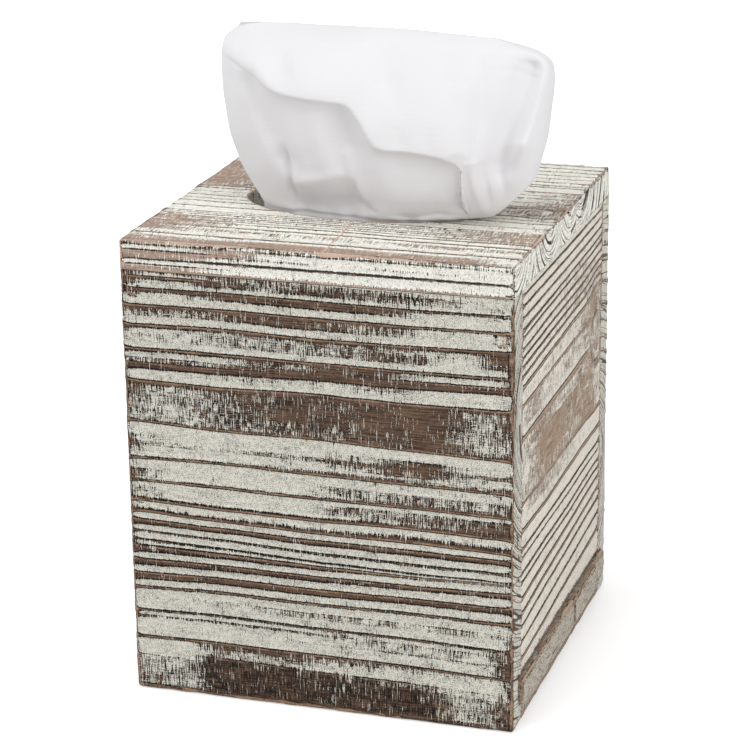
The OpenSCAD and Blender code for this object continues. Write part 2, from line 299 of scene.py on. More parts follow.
class Skin:
    """Patches of points that are welded where they meet, and made into one closed mesh.

    The grids show the finish, and the flat faces at the back and in a groove show the wood inside.
    """

    MARKS = ("wear", "dark", "rub_and_highlight", "end")
    FINISH, INSIDE = 0, 1
    # Points are welded where they lie together to a tenth of a micron
    WELD = 1e4

    def __init__(self):
        self.points, self.marks, self.uv, self.quads, self.fans = [], [], [], [], []
        self.count = 0

    def patch(self, points, marks, uv, flip=False):
        """Adds a grid of points. Its faces turn from the first way to the second, or back if flipped."""
        rows, columns = points.shape[:2]
        ids = self.count + np.arange(rows * columns).reshape(rows, columns)
        corners = [ids[:-1, :-1], ids[1:, :-1], ids[1:, 1:], ids[:-1, 1:]]
        self.points.append(points.reshape(-1, 3))
        self.marks.append(np.stack([np.broadcast_to(m, (rows, columns)) for m in marks], -1).reshape(-1, 4))
        self.uv.append(np.stack(np.broadcast_arrays(*uv), -1).reshape(-1, 2))
        self.quads.append(np.stack(corners[::-1] if flip else corners, -1).reshape(-1, 4))
        self.count += rows * columns
        return ids

    def loose(self, points, marks, uv):
        """Adds single points with no faces of their own."""
        ids = self.count + np.arange(len(points))
        self.points.append(points)
        self.marks.append(np.broadcast_to(marks, (len(points), 4)))
        self.uv.append(uv)
        self.count += len(points)
        return ids

    def fan(self, ids):
        """One flat face through these points."""
        self.fans.append(np.asarray(ids))

    def mesh(self, name, materials):
        """Welds the points, makes the faces that still have three corners or more, and gives the object."""
        points, marks, uv = (np.concatenate(x) for x in (self.points, self.marks, self.uv))
        _, first, back = np.unique(np.round(points * self.WELD).astype(np.int64), axis=0, return_index=True,
                                   return_inverse=True)
        back = back.ravel()
        quads = np.concatenate(self.quads)
        welded = back[quads]
        whole = (welded != np.roll(welded, 1, axis=1)).all(1)
        faces = welded[whole].tolist()
        loops = [quads[whole].ravel()]
        for old in list(quads[~whole]) + self.fans:
            around = back[old]
            keep = around != np.roll(around, 1)
            if keep.sum() > 2:
                faces.append(around[keep].tolist())
                loops.append(old[keep])
        mesh = bpy.data.meshes.new(name)
        mesh.from_pydata((points[first] * MM).tolist(), [], faces)
        layer = mesh.uv_layers.new(name="grain")
        layer.data.foreach_set("uv", (uv[np.concatenate(loops)] * MM).astype(np.float32).ravel())
        for i, mark in enumerate(self.MARKS):
            attribute = mesh.attributes.new(mark, "FLOAT", "POINT")
            attribute.data.foreach_set("value", marks[first, i].astype(np.float32))
        for material in materials:
            mesh.materials.append(material)
        kinds = np.full(len(faces), self.FINISH, np.int32)
        kinds[len(faces) - len(self.fans):] = self.INSIDE
        mesh.polygons.foreach_set("material_index", kinds)
        mesh.polygons.foreach_set("use_smooth", kinds == self.FINISH)
        mesh.update()
        piece = bpy.data.objects.new(name, mesh)
        bpy.context.scene.collection.objects.link(piece)
        return piece


WEAR, DARK, RUB_AND_HIGHLIGHT, END = range(len(Skin.MARKS))


def direction(word):
    """The unit vector of a word such as +x or -z."""
    return np.eye(3)["xyz".index(word[1])] * (1 if word[0] == "+" else -1)


class Board:
    """A board with its grain along u, rows of grain across it, and depth w into it from the face that shows.

    A point of the plain board is sunk on the face by the relief of the grain, on the ends by that of the
    rings and on the edges by the grain of the edges. Then the corners are eased: where a point's distances a
    and b from two faces add up to less than the ease e, both grow by half of what is missing. eases gives the
    ease of the board's start, end, top and bottom, where it isn't the usual one.
    """

    ENDS, SIDES = ("start", "end"), ("top", "bottom")
    # Shares of the relief on the end grain and on the inner face, and of the wear and the ridges on end grain
    END_RELIEF, INNER_RELIEF = 0.7, 0.5
    END_WEAR, END_RIDGE = 0.38, 0.4
    # How much of a ridge turns tan: rubbed to bare wood, and at crisp edges partly a painted highlight
    RIDGE_TAN_SHARE = 0.72

    def __init__(self, node, along, across, grain, edge_grain, eases=None, seed=0):
        low, high = box_of(node)
        self.axes = np.array([direction(along), direction(across)])
        self.axes = np.vstack([self.axes, np.cross(*self.axes)])
        self.start = np.where(self.axes.sum(0) > 0, low, high)
        self.size = np.abs(self.axes @ (high - low))
        self.grain, self.edge_grain, self.seed = grain, edge_grain, seed
        self.eases = {"start": EASE, "end": EASE, "top": JOINT_EASE, "bottom": EASE, **(eases or {})}

    def settle(self, u, g, w):
        """Place and marks of points at u along, row g and depth w.

        Points on the edges of a patch get the same place from each patch that they are in.
        """
        u, g, w = np.broadcast_arrays(*(np.asarray(x, float) for x in (u, g, w)))
        length, height, thick = self.size
        grain = self.grain
        v = grain.across(g, u)
        v = np.where(g == grain.first, 0, np.where(g == grain.last, height, v))
        sunk = np.zeros((3,) + u.shape)
        marks = np.zeros((len(Skin.MARKS),) + u.shape)

        def mark(where, found):
            """Marks these points, and gives how deep they are sunk."""
            depth, wear, dark, ridge = found
            marks[WEAR][where] = wear
            marks[DARK][where] = dark
            marks[RUB_AND_HIGHLIGHT][where] = self.RIDGE_TAN_SHARE * ridge
            return depth

        for side, sign in ((g == grain.first, 1), (g == grain.last, -1)):
            if side.any():
                sunk[1][side] = sign * mark(side, self.edge_grain.marks(w[side], u[side]))
        for at, sign in ((0, 1), (length, -1)):
            side = u == at
            if side.any():
                ring = grain.ring(g[side], w[side])
                found = grain.marks(ring, np.full(ring.shape, float(at)), line=grain.end_line, ends=0)
                sunk[0][side] = sign * self.END_RELIEF * mark(side, found)
                marks[WEAR][side] *= self.END_WEAR
                marks[RUB_AND_HIGHLIGHT][side] *= self.END_RIDGE
                marks[END][side] = 1
        side = (w == thick) & (u > 0) & (u < length) & (g > grain.first) & (g < grain.last)
        if side.any():
            depth, wear, dark, ridge = grain.marks(g[side], u[side])
            sunk[2][side] = -self.INNER_RELIEF * mark(side, (depth, 0.75 + 0.2 * wear, 0.6 * dark, ridge))
        side = w == 0
        if side.any():
            sunk[2][side] = mark(side, grain.marks(g[side], u[side]))
        u, v, w = self.eased(u + sunk[0], v + sunk[1], w + sunk[2], marks)
        return np.stack([u, v, w], -1) @ self.axes + self.start, marks

    def eased(self, u, v, w, marks):
        """The same points after the corners are eased, with their marks changed in place.

        An outer corner is rubbed bare, here more and there less, up to a dark line. A joint has a dark seam.
        """
        length, height = self.size[:2]
        rough = 1 + 0.3 * smooth_noise((u + v) / 5, w / 7, self.seed)
        away = {"start": u, "end": length - u, "top": v, "bottom": height - v, "face": w}
        pairs = [(a, "face", self.eases[a]) for a in self.ENDS + self.SIDES]
        pairs += [(a, b, min(self.eases[a], self.eases[b])) for a in self.ENDS for b in self.SIDES]
        for a, b, ease in pairs:
            total = away[a] + away[b]
            if ease > JOINT_EASE:
                wander = smooth_noise((u + v) / 3.1, w / 6, self.seed + 5)
                here = (u + v) / 22 + 3 * (a == "end") + 7 * (b == "face")
                stretch = smooth_noise(here, 0 * u, self.seed + 8)
                reach = ease * (0.55 + 0.35 * wander + 0.55 * stretch + 0.6 * np.clip(marks[WEAR], 0, 1))
                worn = 0.62 + 0.3 * smooth_noise((u + v) / 9, w / 5, self.seed + 7)
                worn = worn * (0.45 + 0.55 * ramp(marks[WEAR], 0.1, 0.6))
                rubbed = 1 - ramp(total, reach - 0.3, reach + 0.45)
                marks[WEAR] = np.maximum(marks[WEAR], 0.9 * rubbed)
                marks[RUB_AND_HIGHLIGHT] = np.maximum(marks[RUB_AND_HIGHLIGHT], worn * rubbed)
                marks[DARK] = np.maximum(marks[DARK], 0.6 * bell(total - reach - 0.35, 0.3))
            else:
                marks[DARK] = np.maximum(marks[DARK], 0.8 * (1 - ramp(total, 0.1, 0.6)))
            missing = np.clip(ease * rough - total, 0, None) / 2
            away[a], away[b] = away[a] + missing, away[b] + missing
        u = np.where(u < length / 2, away["start"], length - away["end"])
        v = np.where(v < height / 2, away["top"], height - away["bottom"])
        return u, v, away["face"]


# Places of the mesh's columns in from the ends of a board, and of its points below the face
COLUMNS_AT_END = np.array([0, 0.3, 0.6, 0.9, 1.2, 1.6, 2.1, 2.8, 3.7])
DEPTHS_AT_FACE = np.array([0, 0.3, 0.6, 0.9, 1.2])


def columns_of(length, spacing=COLUMN_STEP):
    """Places along a board: close together at its ends, and even between them."""
    near, even_start = COLUMNS_AT_END[:-1], COLUMNS_AT_END[-1]
    even = np.linspace(even_start, length - even_start, int((length - 2 * even_start) / spacing) + 1)
    return np.concatenate([near, even, (length - near)[::-1]])


def depths_of(thick, spacing):
    """Depths into a board: close together below its face, and even below that."""
    near, even_start = DEPTHS_AT_FACE[:-1], DEPTHS_AT_FACE[-1]
    return np.concatenate([near, np.linspace(even_start, thick, int((thick - even_start) / spacing) + 1)])


def pattern_shift(board):
    """How far a board's own part of the pattern lies along the grain from the pattern's start."""
    return BOARDS_APART * (board.seed % 7)


def build_board(name, board, materials, depth_step=ROW_STEP, groove=None, grid_back=False, gap=ROW_STEP):
    """The closed skin of a board: its face, two ends and two edges as grids, and its back as one flat face.

    groove is (first row, last row): a groove in the back, open at the far end. With grid_back the back is a
    grid as well, and shows the finish.
    """
    grain, (length, _, thick) = board.grain, board.size
    rows, columns, depths = grain.rows(gap), columns_of(length), depths_of(thick, depth_step)
    if groove:
        depths[np.argmin(np.abs(depths - GROOVE_FLOOR))] = GROOVE_FLOOR
    skin = Skin()

    def add(u, g, w, uv, flip=False):
        """Settles a grid of points and adds it to the skin."""
        return skin.patch(*board.settle(u, g, w), uv, flip)

    shift = pattern_shift(board)
    row, column, depth = rows[:, None], columns[None, :], depths[None, :]
    add(column, row, 0.0 * row, (column + shift, row + 0 * column))
    ring = grain.ring(*np.broadcast_arrays(row, depth))
    near = add(0.0 * depth, row, depth, (shift - depth, ring), flip=True)
    far = add(length + 0 * depth, row, depth, (shift + length + depth, ring))
    column, depth = columns[:, None], depths[None, :]
    top = add(column, grain.first + 0 * depth, depth, (column + shift, -depth))
    bottom = add(column, grain.last + 0 * depth, depth, (column + shift, grain.last + depth), flip=True)
    if grid_back:
        column = columns[None, :]
        add(column, row, thick + 0 * row, (column + shift + BACK_APART, row + 0 * column), flip=True)
    elif groove:
        cut_groove(skin, board, rows, depths, (near, far, top, bottom), groove)
    else:
        skin.fan(np.concatenate([top[:-1, -1], far[:-1, -1], bottom[:0:-1, -1], near[:0:-1, -1]]))
    return skin.mesh(name, materials)


def cut_groove(skin, board, rows, depths, sides, groove):
    """Opens the far end of the board at the groove, and adds the groove's floor, walls and inner end."""
    near, far, top, bottom = sides
    groove_top, groove_bottom = groove
    length, _, thick = board.size
    open_rows = board.grain.across(rows, np.full(rows.shape, length)) + board.grain.first
    a, b = (int(np.argmin(np.abs(open_rows - row))) for row in groove)
    k = int(np.argmin(np.abs(depths - GROOVE_FLOOR)))
    # The far end's quads, of which those inside the groove go
    end = 2
    i, j = np.divmod(np.arange((far.shape[0] - 1) * (far.shape[1] - 1)), far.shape[1] - 1)
    skin.quads[end] = skin.quads[end][~((i >= a) & (i < b) & (j >= k))]
    points = np.concatenate(skin.points)
    for ids, row in ((far[a, k:], groove_top), (far[b, k:], groove_bottom)):
        points[ids, 2] = board.start[2] + board.axes[1, 2] * (row - board.grain.first)
    skin.points = [points]
    corners = np.array([[GROOVE_START, groove_top, GROOVE_FLOOR], [GROOVE_START, groove_top, thick],
                        [GROOVE_START, groove_bottom, thick], [GROOVE_START, groove_bottom, GROOVE_FLOOR]])
    local = corners - [0, board.grain.first, 0]
    bare_wood = np.array([0.6, 0, 0, 0])
    ids = skin.loose(local @ board.axes + board.start, bare_wood, corners[:, :2])
    skin.fan(np.concatenate([ids[[3, 0]], far[a:b + 1, k]]))
    skin.fan(np.concatenate([ids[[0, 1]], far[a, :k - 1:-1]]))
    skin.fan(np.concatenate([ids[[2, 3]], far[b, k:]]))
    skin.fan(ids[::-1])
    skin.fan(np.concatenate([top[:-1, -1], far[:a + 1, -1], ids[[1, 2]], far[b:-1, -1], bottom[:0:-1, -1],
                             near[:0:-1, -1]]))


# Front board, millimetres below the top of the case. Digits are 10 mm apart, or 20 where there are eight
FRONT = [
    (11.0, 11.0, "66653222"), (11.9, 11.8, "732475656654311"), (12.9, 12.8, "888875667675521"),
    (14.2, 14.0, "831765677564411"), (15.6, 15.4, "511321222232111"), (17.2, 17.0, "888888888888776"),
    (18.0, 17.8, "877888888862111"), (18.8, 18.7, "522478888851111"), (20.2, 20.0, "211112221222111"),
    (23.2, 22.8, "988888888887777"), (24.2, 23.8, "875667876651113"), (25.4, 25.2, "554577877642114"),
    (27.3, 27.2, "211121222211112"), (30.2, 29.8, "888888888888888"), (31.6, 31.2, "423445455554269"),
    (33.6, 33.3, "343455555665159"), (36.6, 36.3, "111111222232116"), (38.9, 38.7, "888998888888888"),
    (40.2, 39.8, "322245567753115"), (42.6, 42.0, "656567888888767"), (44.2, 43.0, "899999999999998"),
    (46.9, 44.4, "211344333442112"), (48.4, 46.6, "211122112232112"), (51.0, 50.0, "988888888888888"),
    (52.6, 51.6, "654567776889647"), (57.0, 56.4, "544567877899646"), (61.5, 61.5, "444555666779646"),
    (65.2, 66.8, "888888888888888"), (66.2, 67.9, "211111111111112"), (70.8, 71.2, "621111223468323"),
    (73.0, 73.4, "754335556788656"), (74.4, 74.8, "621111234577323"), (76.4, 76.8, "211111223334223"),
    (77.6, 77.8, "311124566665456"), (78.5, 78.7, "888888888888888"), (79.5, 79.7, "311111122222223"),
    (83.0, 83.2, "741111135555546"), (86.2, 86.6, "631111234566657"), (87.2, 87.6, "888888888888888"),
    (88.1, 88.6, "311111111122223"), (90.0, 90.2, "531111135556678"), (93.2, 93.8, "421111123455678"),
    (94.3, 95.0, "888888888888888"), (95.8, 96.6, "311111111112222"), (97.9, 99.2, "533334444555555"),
    (98.6, 99.9, "899888888889999"), (100.0, 101.8, "211111111111112"), (102.6, 104.0, "889988888888998"),
    (104.6, 105.9, "211111111111112"), (106.9, 109.0, "777777777777777"), (107.6, 109.7, "211111111111112"),
    (110.2, 112.3, "777777777776666"), (110.9, 112.7, "421111111111112"), (112.6, 113.1, "878888887766666"),
    (115.3, 113.6, "211111111111112"), (117.6, 116.1, "899999998888888"), (120.0, 117.7, "211111111111112"),
    (122.5, 121.1, "889999999999888"), (125.2, 123.3, "321112222222212"), (127.7, 126.7, "888888888888888"),
    (128.7, 127.6, "211111111111114"), (131.4, 131.4, "111334545434535"), (133.8, 133.6, "211111111111116"),
    (136.6, 136.9, "888888888888888"), (137.4, 137.6, "222222234333337"), (139.2, 139.2, "665666665555557"),
    (139.9, 139.9, "111111223443338"), (142.8, 142.8, "111112334565558"), (143.5, 143.5, "111111112222227"),
    (147.0, 147.4, "888888888888888"), (148.0, 148.1, "111788756544336"), (149.8, 149.4, "111544543222115"),
    (152.6, 154.2, "112888876766346"), (154.8, 156.0, "544889877787457"), (160.0, 160.0, "554788988888457"),
    (165.8, 165.8, "788889999998778"),
]
FRONT_SPOTS = [
    (4.5, 18.0, 2.0), (134.5, 17.0, 1.6), (135.5, 25.5, 2.0), (134.5, 79.5, 1.3), (4.5, 93.5, 2.2),
    (135.6, 139.5, 1.6),
]
FRONT_SCORCHED = [
    (153, 166, 24, 113, 0.4), (52, 65, 34, 82, 0.22), (117, 120, 0, 100, 0.3), (12.5, 16, 40, 110, 0.3),
]

# Right board, below the top of the case. A digit about every 17 mm from the front
RIGHT = [
    (11.0, 11.0, "22222222"), (13.3, 13.1, "77777766"), (14.0, 13.7, "21111111"), (17.3, 16.2, "87777775"),
    (18.0, 16.8, "22111211"), (21.3, 19.8, "78777777"), (22.0, 20.4, "22222222"), (25.4, 23.0, "88877787"),
    (26.2, 23.6, "21122322"), (28.0, 25.6, "77777777"), (28.6, 26.2, "22223433"), (31.8, 29.0, "88878888"),
    (32.6, 29.7, "22223433"), (34.9, 32.4, "88888888"), (35.6, 33.0, "21223443"), (38.1, 35.6, "88888888"),
    (38.8, 36.3, "21223444"), (41.4, 38.6, "98888888"), (42.3, 39.5, "11112243"), (45.4, 42.4, "99988888"),
    (46.6, 43.6, "22333465"), (52.1, 50.8, "88777777"), (53.0, 52.0, "26334464"), (57.5, 57.0, "36434354"),
    (60.8, 60.4, "22222342"), (63.4, 61.6, "89988877"), (64.8, 64.0, "36644566"), (70.0, 70.0, "34876762"),
    (73.0, 73.0, "35987652"), (76.0, 76.0, "34875763"), (79.5, 79.5, "35986672"), (82.6, 82.6, "45765682"),
    (87.6, 88.4, "88888888"), (88.6, 89.6, "25544221"), (93.0, 94.0, "12333221"), (97.4, 97.2, "99988888"),
    (98.6, 98.6, "21111111"), (104.2, 104.2, "88888888"), (105.0, 104.8, "21111111"),
    (107.6, 107.6, "66666666"), (108.2, 108.2, "21111111"), (113.2, 111.4, "88888876"),
    (113.9, 112.1, "21111111"), (116.3, 114.6, "88777777"), (117.0, 115.3, "11111111"),
    (121.8, 118.0, "99988888"), (123.0, 119.0, "21111111"), (127.2, 122.6, "99888888"),
    (128.4, 123.6, "11111111"), (132.1, 127.2, "88888888"), (132.9, 128.0, "11111111"),
    (138.2, 133.0, "88888888"), (139.0, 133.8, "11111111"), (144.6, 139.2, "98888888"),
    (145.6, 140.4, "31211110"), (147.4, 146.4, "33221110"), (148.8, 148.6, "55544322"),
]
RIGHT_KNOTS = [(109.5, 60.5, 8.5, 9.5, 5.0)]

# Left board, below the top of the case, with its digits from the back
LEFT = [
    (11.0, 11.0, "33222233"), (13.2, 13.8, "88888888"), (14.6, 15.4, "21112223"), (19.4, 20.6, "99888889"),
    (21.6, 22.8, "32111122"), (27.0, 27.4, "78888887"), (28.2, 28.6, "43222334"), (33.0, 32.2, "99999999"),
    (36.4, 35.8, "64445666"), (43.0, 42.0, "32111233"), (46.8, 46.4, "88888888"), (47.8, 47.4, "22111122"),
    (55.8, 56.6, "88888889"), (58.0, 58.8, "45667655"), (66.0, 66.4, "56889876"), (74.0, 73.6, "33345432"),
    (79.2, 78.4, "98888888"), (80.6, 80.0, "21111122"), (86.2, 85.6, "88888888"), (87.0, 86.4, "21111111"),
    (91.0, 90.2, "89999998"), (93.2, 92.4, "22211122"), (97.0, 96.8, "88888888"), (97.9, 97.7, "21111112"),
    (102.4, 102.4, "88888888"), (103.8, 103.6, "32234432"), (108.4, 108.6, "98888888"),
    (109.8, 110.0, "21111111"), (114.4, 115.0, "88999988"), (116.4, 117.0, "21111122"),
    (121.8, 122.2, "88888888"), (122.6, 123.0, "21112221"), (127.4, 127.6, "88888888"),
    (129.2, 129.4, "43355433"), (136.0, 136.0, "99988889"), (137.4, 137.4, "22111112"),
    (143.6, 143.8, "88888888"), (144.4, 144.6, "21111122"), (150.4, 150.6, "88899888"),
    (152.0, 152.2, "44578876"), (160.0, 160.0, "55788875"), (166.4, 166.4, "77777777"),
]
LEFT_KNOTS = [(34.0, 108.0, 5.0, 5.5, 3.2)]

# Back board, counted up from the foot of the case, which is its row 11
BACK = [
    (11.0, 11.0, "44444444"), (12.6, 12.8, "78777887"), (14.0, 14.4, "31112231"), (18.8, 19.2, "88888888"),
    (20.6, 21.0, "22111122"), (24.6, 24.2, "88888888"), (25.4, 25.0, "21111111"), (29.8, 29.0, "99988899"),
    (31.6, 30.8, "43222334"), (37.6, 36.8, "88888888"), (38.6, 37.8, "11111112"), (43.0, 42.4, "88888888"),
    (43.8, 43.2, "21111111"), (47.4, 47.0, "88888888"), (49.4, 49.0, "55444455"), (57.0, 57.0, "46788764"),
    (66.4, 67.0, "35899853"), (74.0, 74.6, "33456543"), (78.4, 79.2, "98888889"), (80.0, 80.8, "21111112"),
    (88.2, 89.0, "88888888"), (89.2, 90.0, "31122231"), (95.0, 95.4, "88888888"), (96.6, 97.0, "22111122"),
    (101.0, 101.2, "88888888"), (101.8, 102.0, "11111111"), (105.4, 105.2, "88888888"),
    (107.2, 107.0, "21111112"), (111.8, 111.0, "99999999"), (113.8, 113.0, "32222223"),
    (119.0, 118.2, "88888888"), (119.9, 119.1, "21111112"), (125.4, 124.8, "88888888"),
    (127.0, 126.4, "44334444"), (133.8, 133.6, "98888889"), (135.2, 135.0, "21111112"),
    (142.0, 142.2, "88888888"), (142.8, 143.0, "21111111"), (147.8, 148.0, "99999999"),
    (150.0, 150.2, "54334455"), (157.0, 157.0, "65889865"), (166.4, 166.4, "77999977"),
]
BACK_KNOTS = [(52.0, 122.0, 4.5, 5.0, 3.0)]

# Top board, millimetres from its back edge
TOP = [
    (0.0, 0.0, "33333333"), (3.4, 3.6, "77777777"), (4.2, 4.4, "21111112"), (8.0, 8.2, "88888877"),
    (8.9, 9.0, "21111112"), (13.6, 13.2, "77777777"), (14.2, 13.8, "32111112"), (18.2, 18.0, "66666666"),
    (18.8, 18.6, "42111112"), (23.0, 22.8, "87777777"), (24.0, 23.6, "54311122"), (28.4, 28.6, "98777777"),
    (29.6, 29.4, "85211113"), (33.6, 33.0, "87666677"), (34.4, 33.6, "86211112"), (36.2, 36.0, "98777777"),
    (37.0, 36.8, "85211112"), (43.0, 43.0, "98777788"), (44.0, 44.0, "86211125"), (48.2, 48.0, "88666668"),
    (49.0, 48.8, "87211125"), (52.4, 52.0, "98777778"), (53.4, 53.0, "86211125"), (58.0, 58.0, "97666668"),
    (59.0, 59.0, "75211126"), (64.0, 63.6, "88777778"), (65.0, 64.6, "42111146"), (66.6, 66.8, "77777788"),
    (67.4, 67.6, "21111146"), (71.6, 71.0, "66666666"), (72.3, 71.7, "22111146"), (76.8, 77.0, "77777788"),
    (77.7, 78.0, "21111123"), (81.0, 81.2, "66666666"), (81.7, 81.9, "21111122"), (84.8, 85.2, "77777777"),
    (85.6, 86.0, "11111112"), (91.6, 91.4, "87777777"), (92.4, 92.2, "11111122"), (97.8, 98.0, "77777877"),
    (98.4, 98.6, "21111256"), (100.2, 100.2, "77777777"), (100.8, 100.8, "31111256"),
    (102.2, 102.2, "78777778"), (102.8, 102.8, "61111256"), (104.8, 104.6, "88888888"),
    (105.6, 105.4, "64112456"), (107.0, 106.8, "88777778"), (107.7, 107.5, "65211256"),
    (109.6, 109.4, "98877788"), (110.4, 110.2, "65211245"), (112.6, 112.4, "88888888"),
    (113.3, 113.1, "75211122"), (117.0, 117.0, "99999999"), (118.1, 118.1, "74222222"),
    (120.2, 120.2, "65644565"), (122.2, 122.2, "74333443"), (124.4, 124.4, "32222222"),
    (128.6, 128.6, "99999999"), (129.6, 129.6, "411111131"), (132.0, 132.0, "554876661"),
    (133.6, 133.8, "668887771"), (136.0, 136.2, "778887772"), (138.0, 138.0, "988888885"),
]
TOP_KNOTS = [(131.0, 71.0, 5.0, 4.5, 2.4)]
# The front and back edges of the top board, millimetres below its top
TOP_FRONT = [
    (0.0, 0.0, "65445542"), (1.4, 1.4, "88777764"), (1.9, 1.9, "22711111"), (3.5, 3.6, "88821111"),
    (4.2, 4.3, "78752442"), (4.8, 4.8, "87200111"), (6.3, 6.4, "99888877"), (6.9, 7.0, "10011111"),
    (8.8, 8.8, "87210011"), (10.3, 10.4, "99988888"),
]
# Edges that were sawn and only lightly torched
SAWN = [
    (0.0, 0.0, "76667766"), (2.4, 2.8, "98898888"), (3.2, 3.6, "65566655"), (6.6, 6.2, "88888888"),
    (7.6, 7.4, "66556566"), (9.6, 9.8, "88888888"),
]

# The rail under the slot, below the top of the case
RAIL = [
    (160.0, 160.0, "33323344"), (162.6, 162.2, "55555566"), (163.4, 163.0, "32323344"),
    (165.6, 165.4, "66666677"), (166.6, 166.4, "55555555"),
]
# A slat of the bottom: shares of its width, from its back edge
SLAT_BANDS = [
    (0.0, "98888876"), (0.06, "87777765"), (0.1, "98888877"), (0.22, "87777654"), (0.26, "88877766"),
    (0.38, "98888876"), (0.43, "87776665"), (0.6, "98888887"), (0.64, "87777654"), (0.75, "88888877"),
    (0.79, "87766665"), (0.9, "98888877"), (0.94, "98877766"),
]


def linear(hex_colour):
    """An sRGB hex colour as linear red, green, blue and an alpha of 1."""
    parts = np.array([int(hex_colour[i:i + 2], 16) for i in (1, 3, 5)]) / 255
    return (*np.where(parts <= 0.04045, parts / 12.92, ((parts + 0.055) / 1.055) ** 2.4), 1)


def add_node(tree, kind, inputs=(), give=0, **settings):
    """Adds a shader node with its settings, and gives its output of this number or name, if it has any.

    Each input is a value, or the output of another node.
    """
    node = tree.nodes.new(kind)
    for name, value in settings.items():
        setattr(node, name, value)
    for socket, value in dict(inputs).items():
        if isinstance(value, bpy.types.NodeSocket):
            tree.links.new(value, node.inputs[socket])
        else:
            node.inputs[socket].default_value = value
    return node.outputs[give] if node.outputs else None


def new_material(name):
    """A material with an empty tree, and the function that adds a node to it."""
    material = bpy.data.materials.new(name)
    material.use_nodes = True
    material.node_tree.nodes.clear()
    return material, partial(add_node, material.node_tree)


def finish_material(add, inputs):
    """Adds the shader with its inputs, and the material's output."""
    shader = add("ShaderNodeBsdfPrincipled", inputs)
    add("ShaderNodeOutputMaterial", {"Surface": shader})


# Settings of a node that mixes two colours, and of one that goes smoothly from 0 to 1
COLOURS = {"data_type": "RGBA", "give": 2}
SMOOTH = {"interpolation_type": "SMOOTHSTEP"}
# Marks in the whitewash and the wood: length along the grain and across it in millimetres, and detail
FIR_MARKS = {
    "scratch": (0.4, 4.6, 2.0),
    "cluster": (5.0, 16.0, 1.0),
    "fibre": (15.0, 0.45, 2.0),
    "weave": (3.6, 0.42, 1.0),
    "blotch": (7.0, 2.8, 3.0),
    "pore": (0.4, 0.34, 1.0),
    "grit": (1.6, 1.3, 2.0),
    "ring": (60.0, 3.6, 1.0),
    "hair": (0.35, 8.0, 1.0),
}


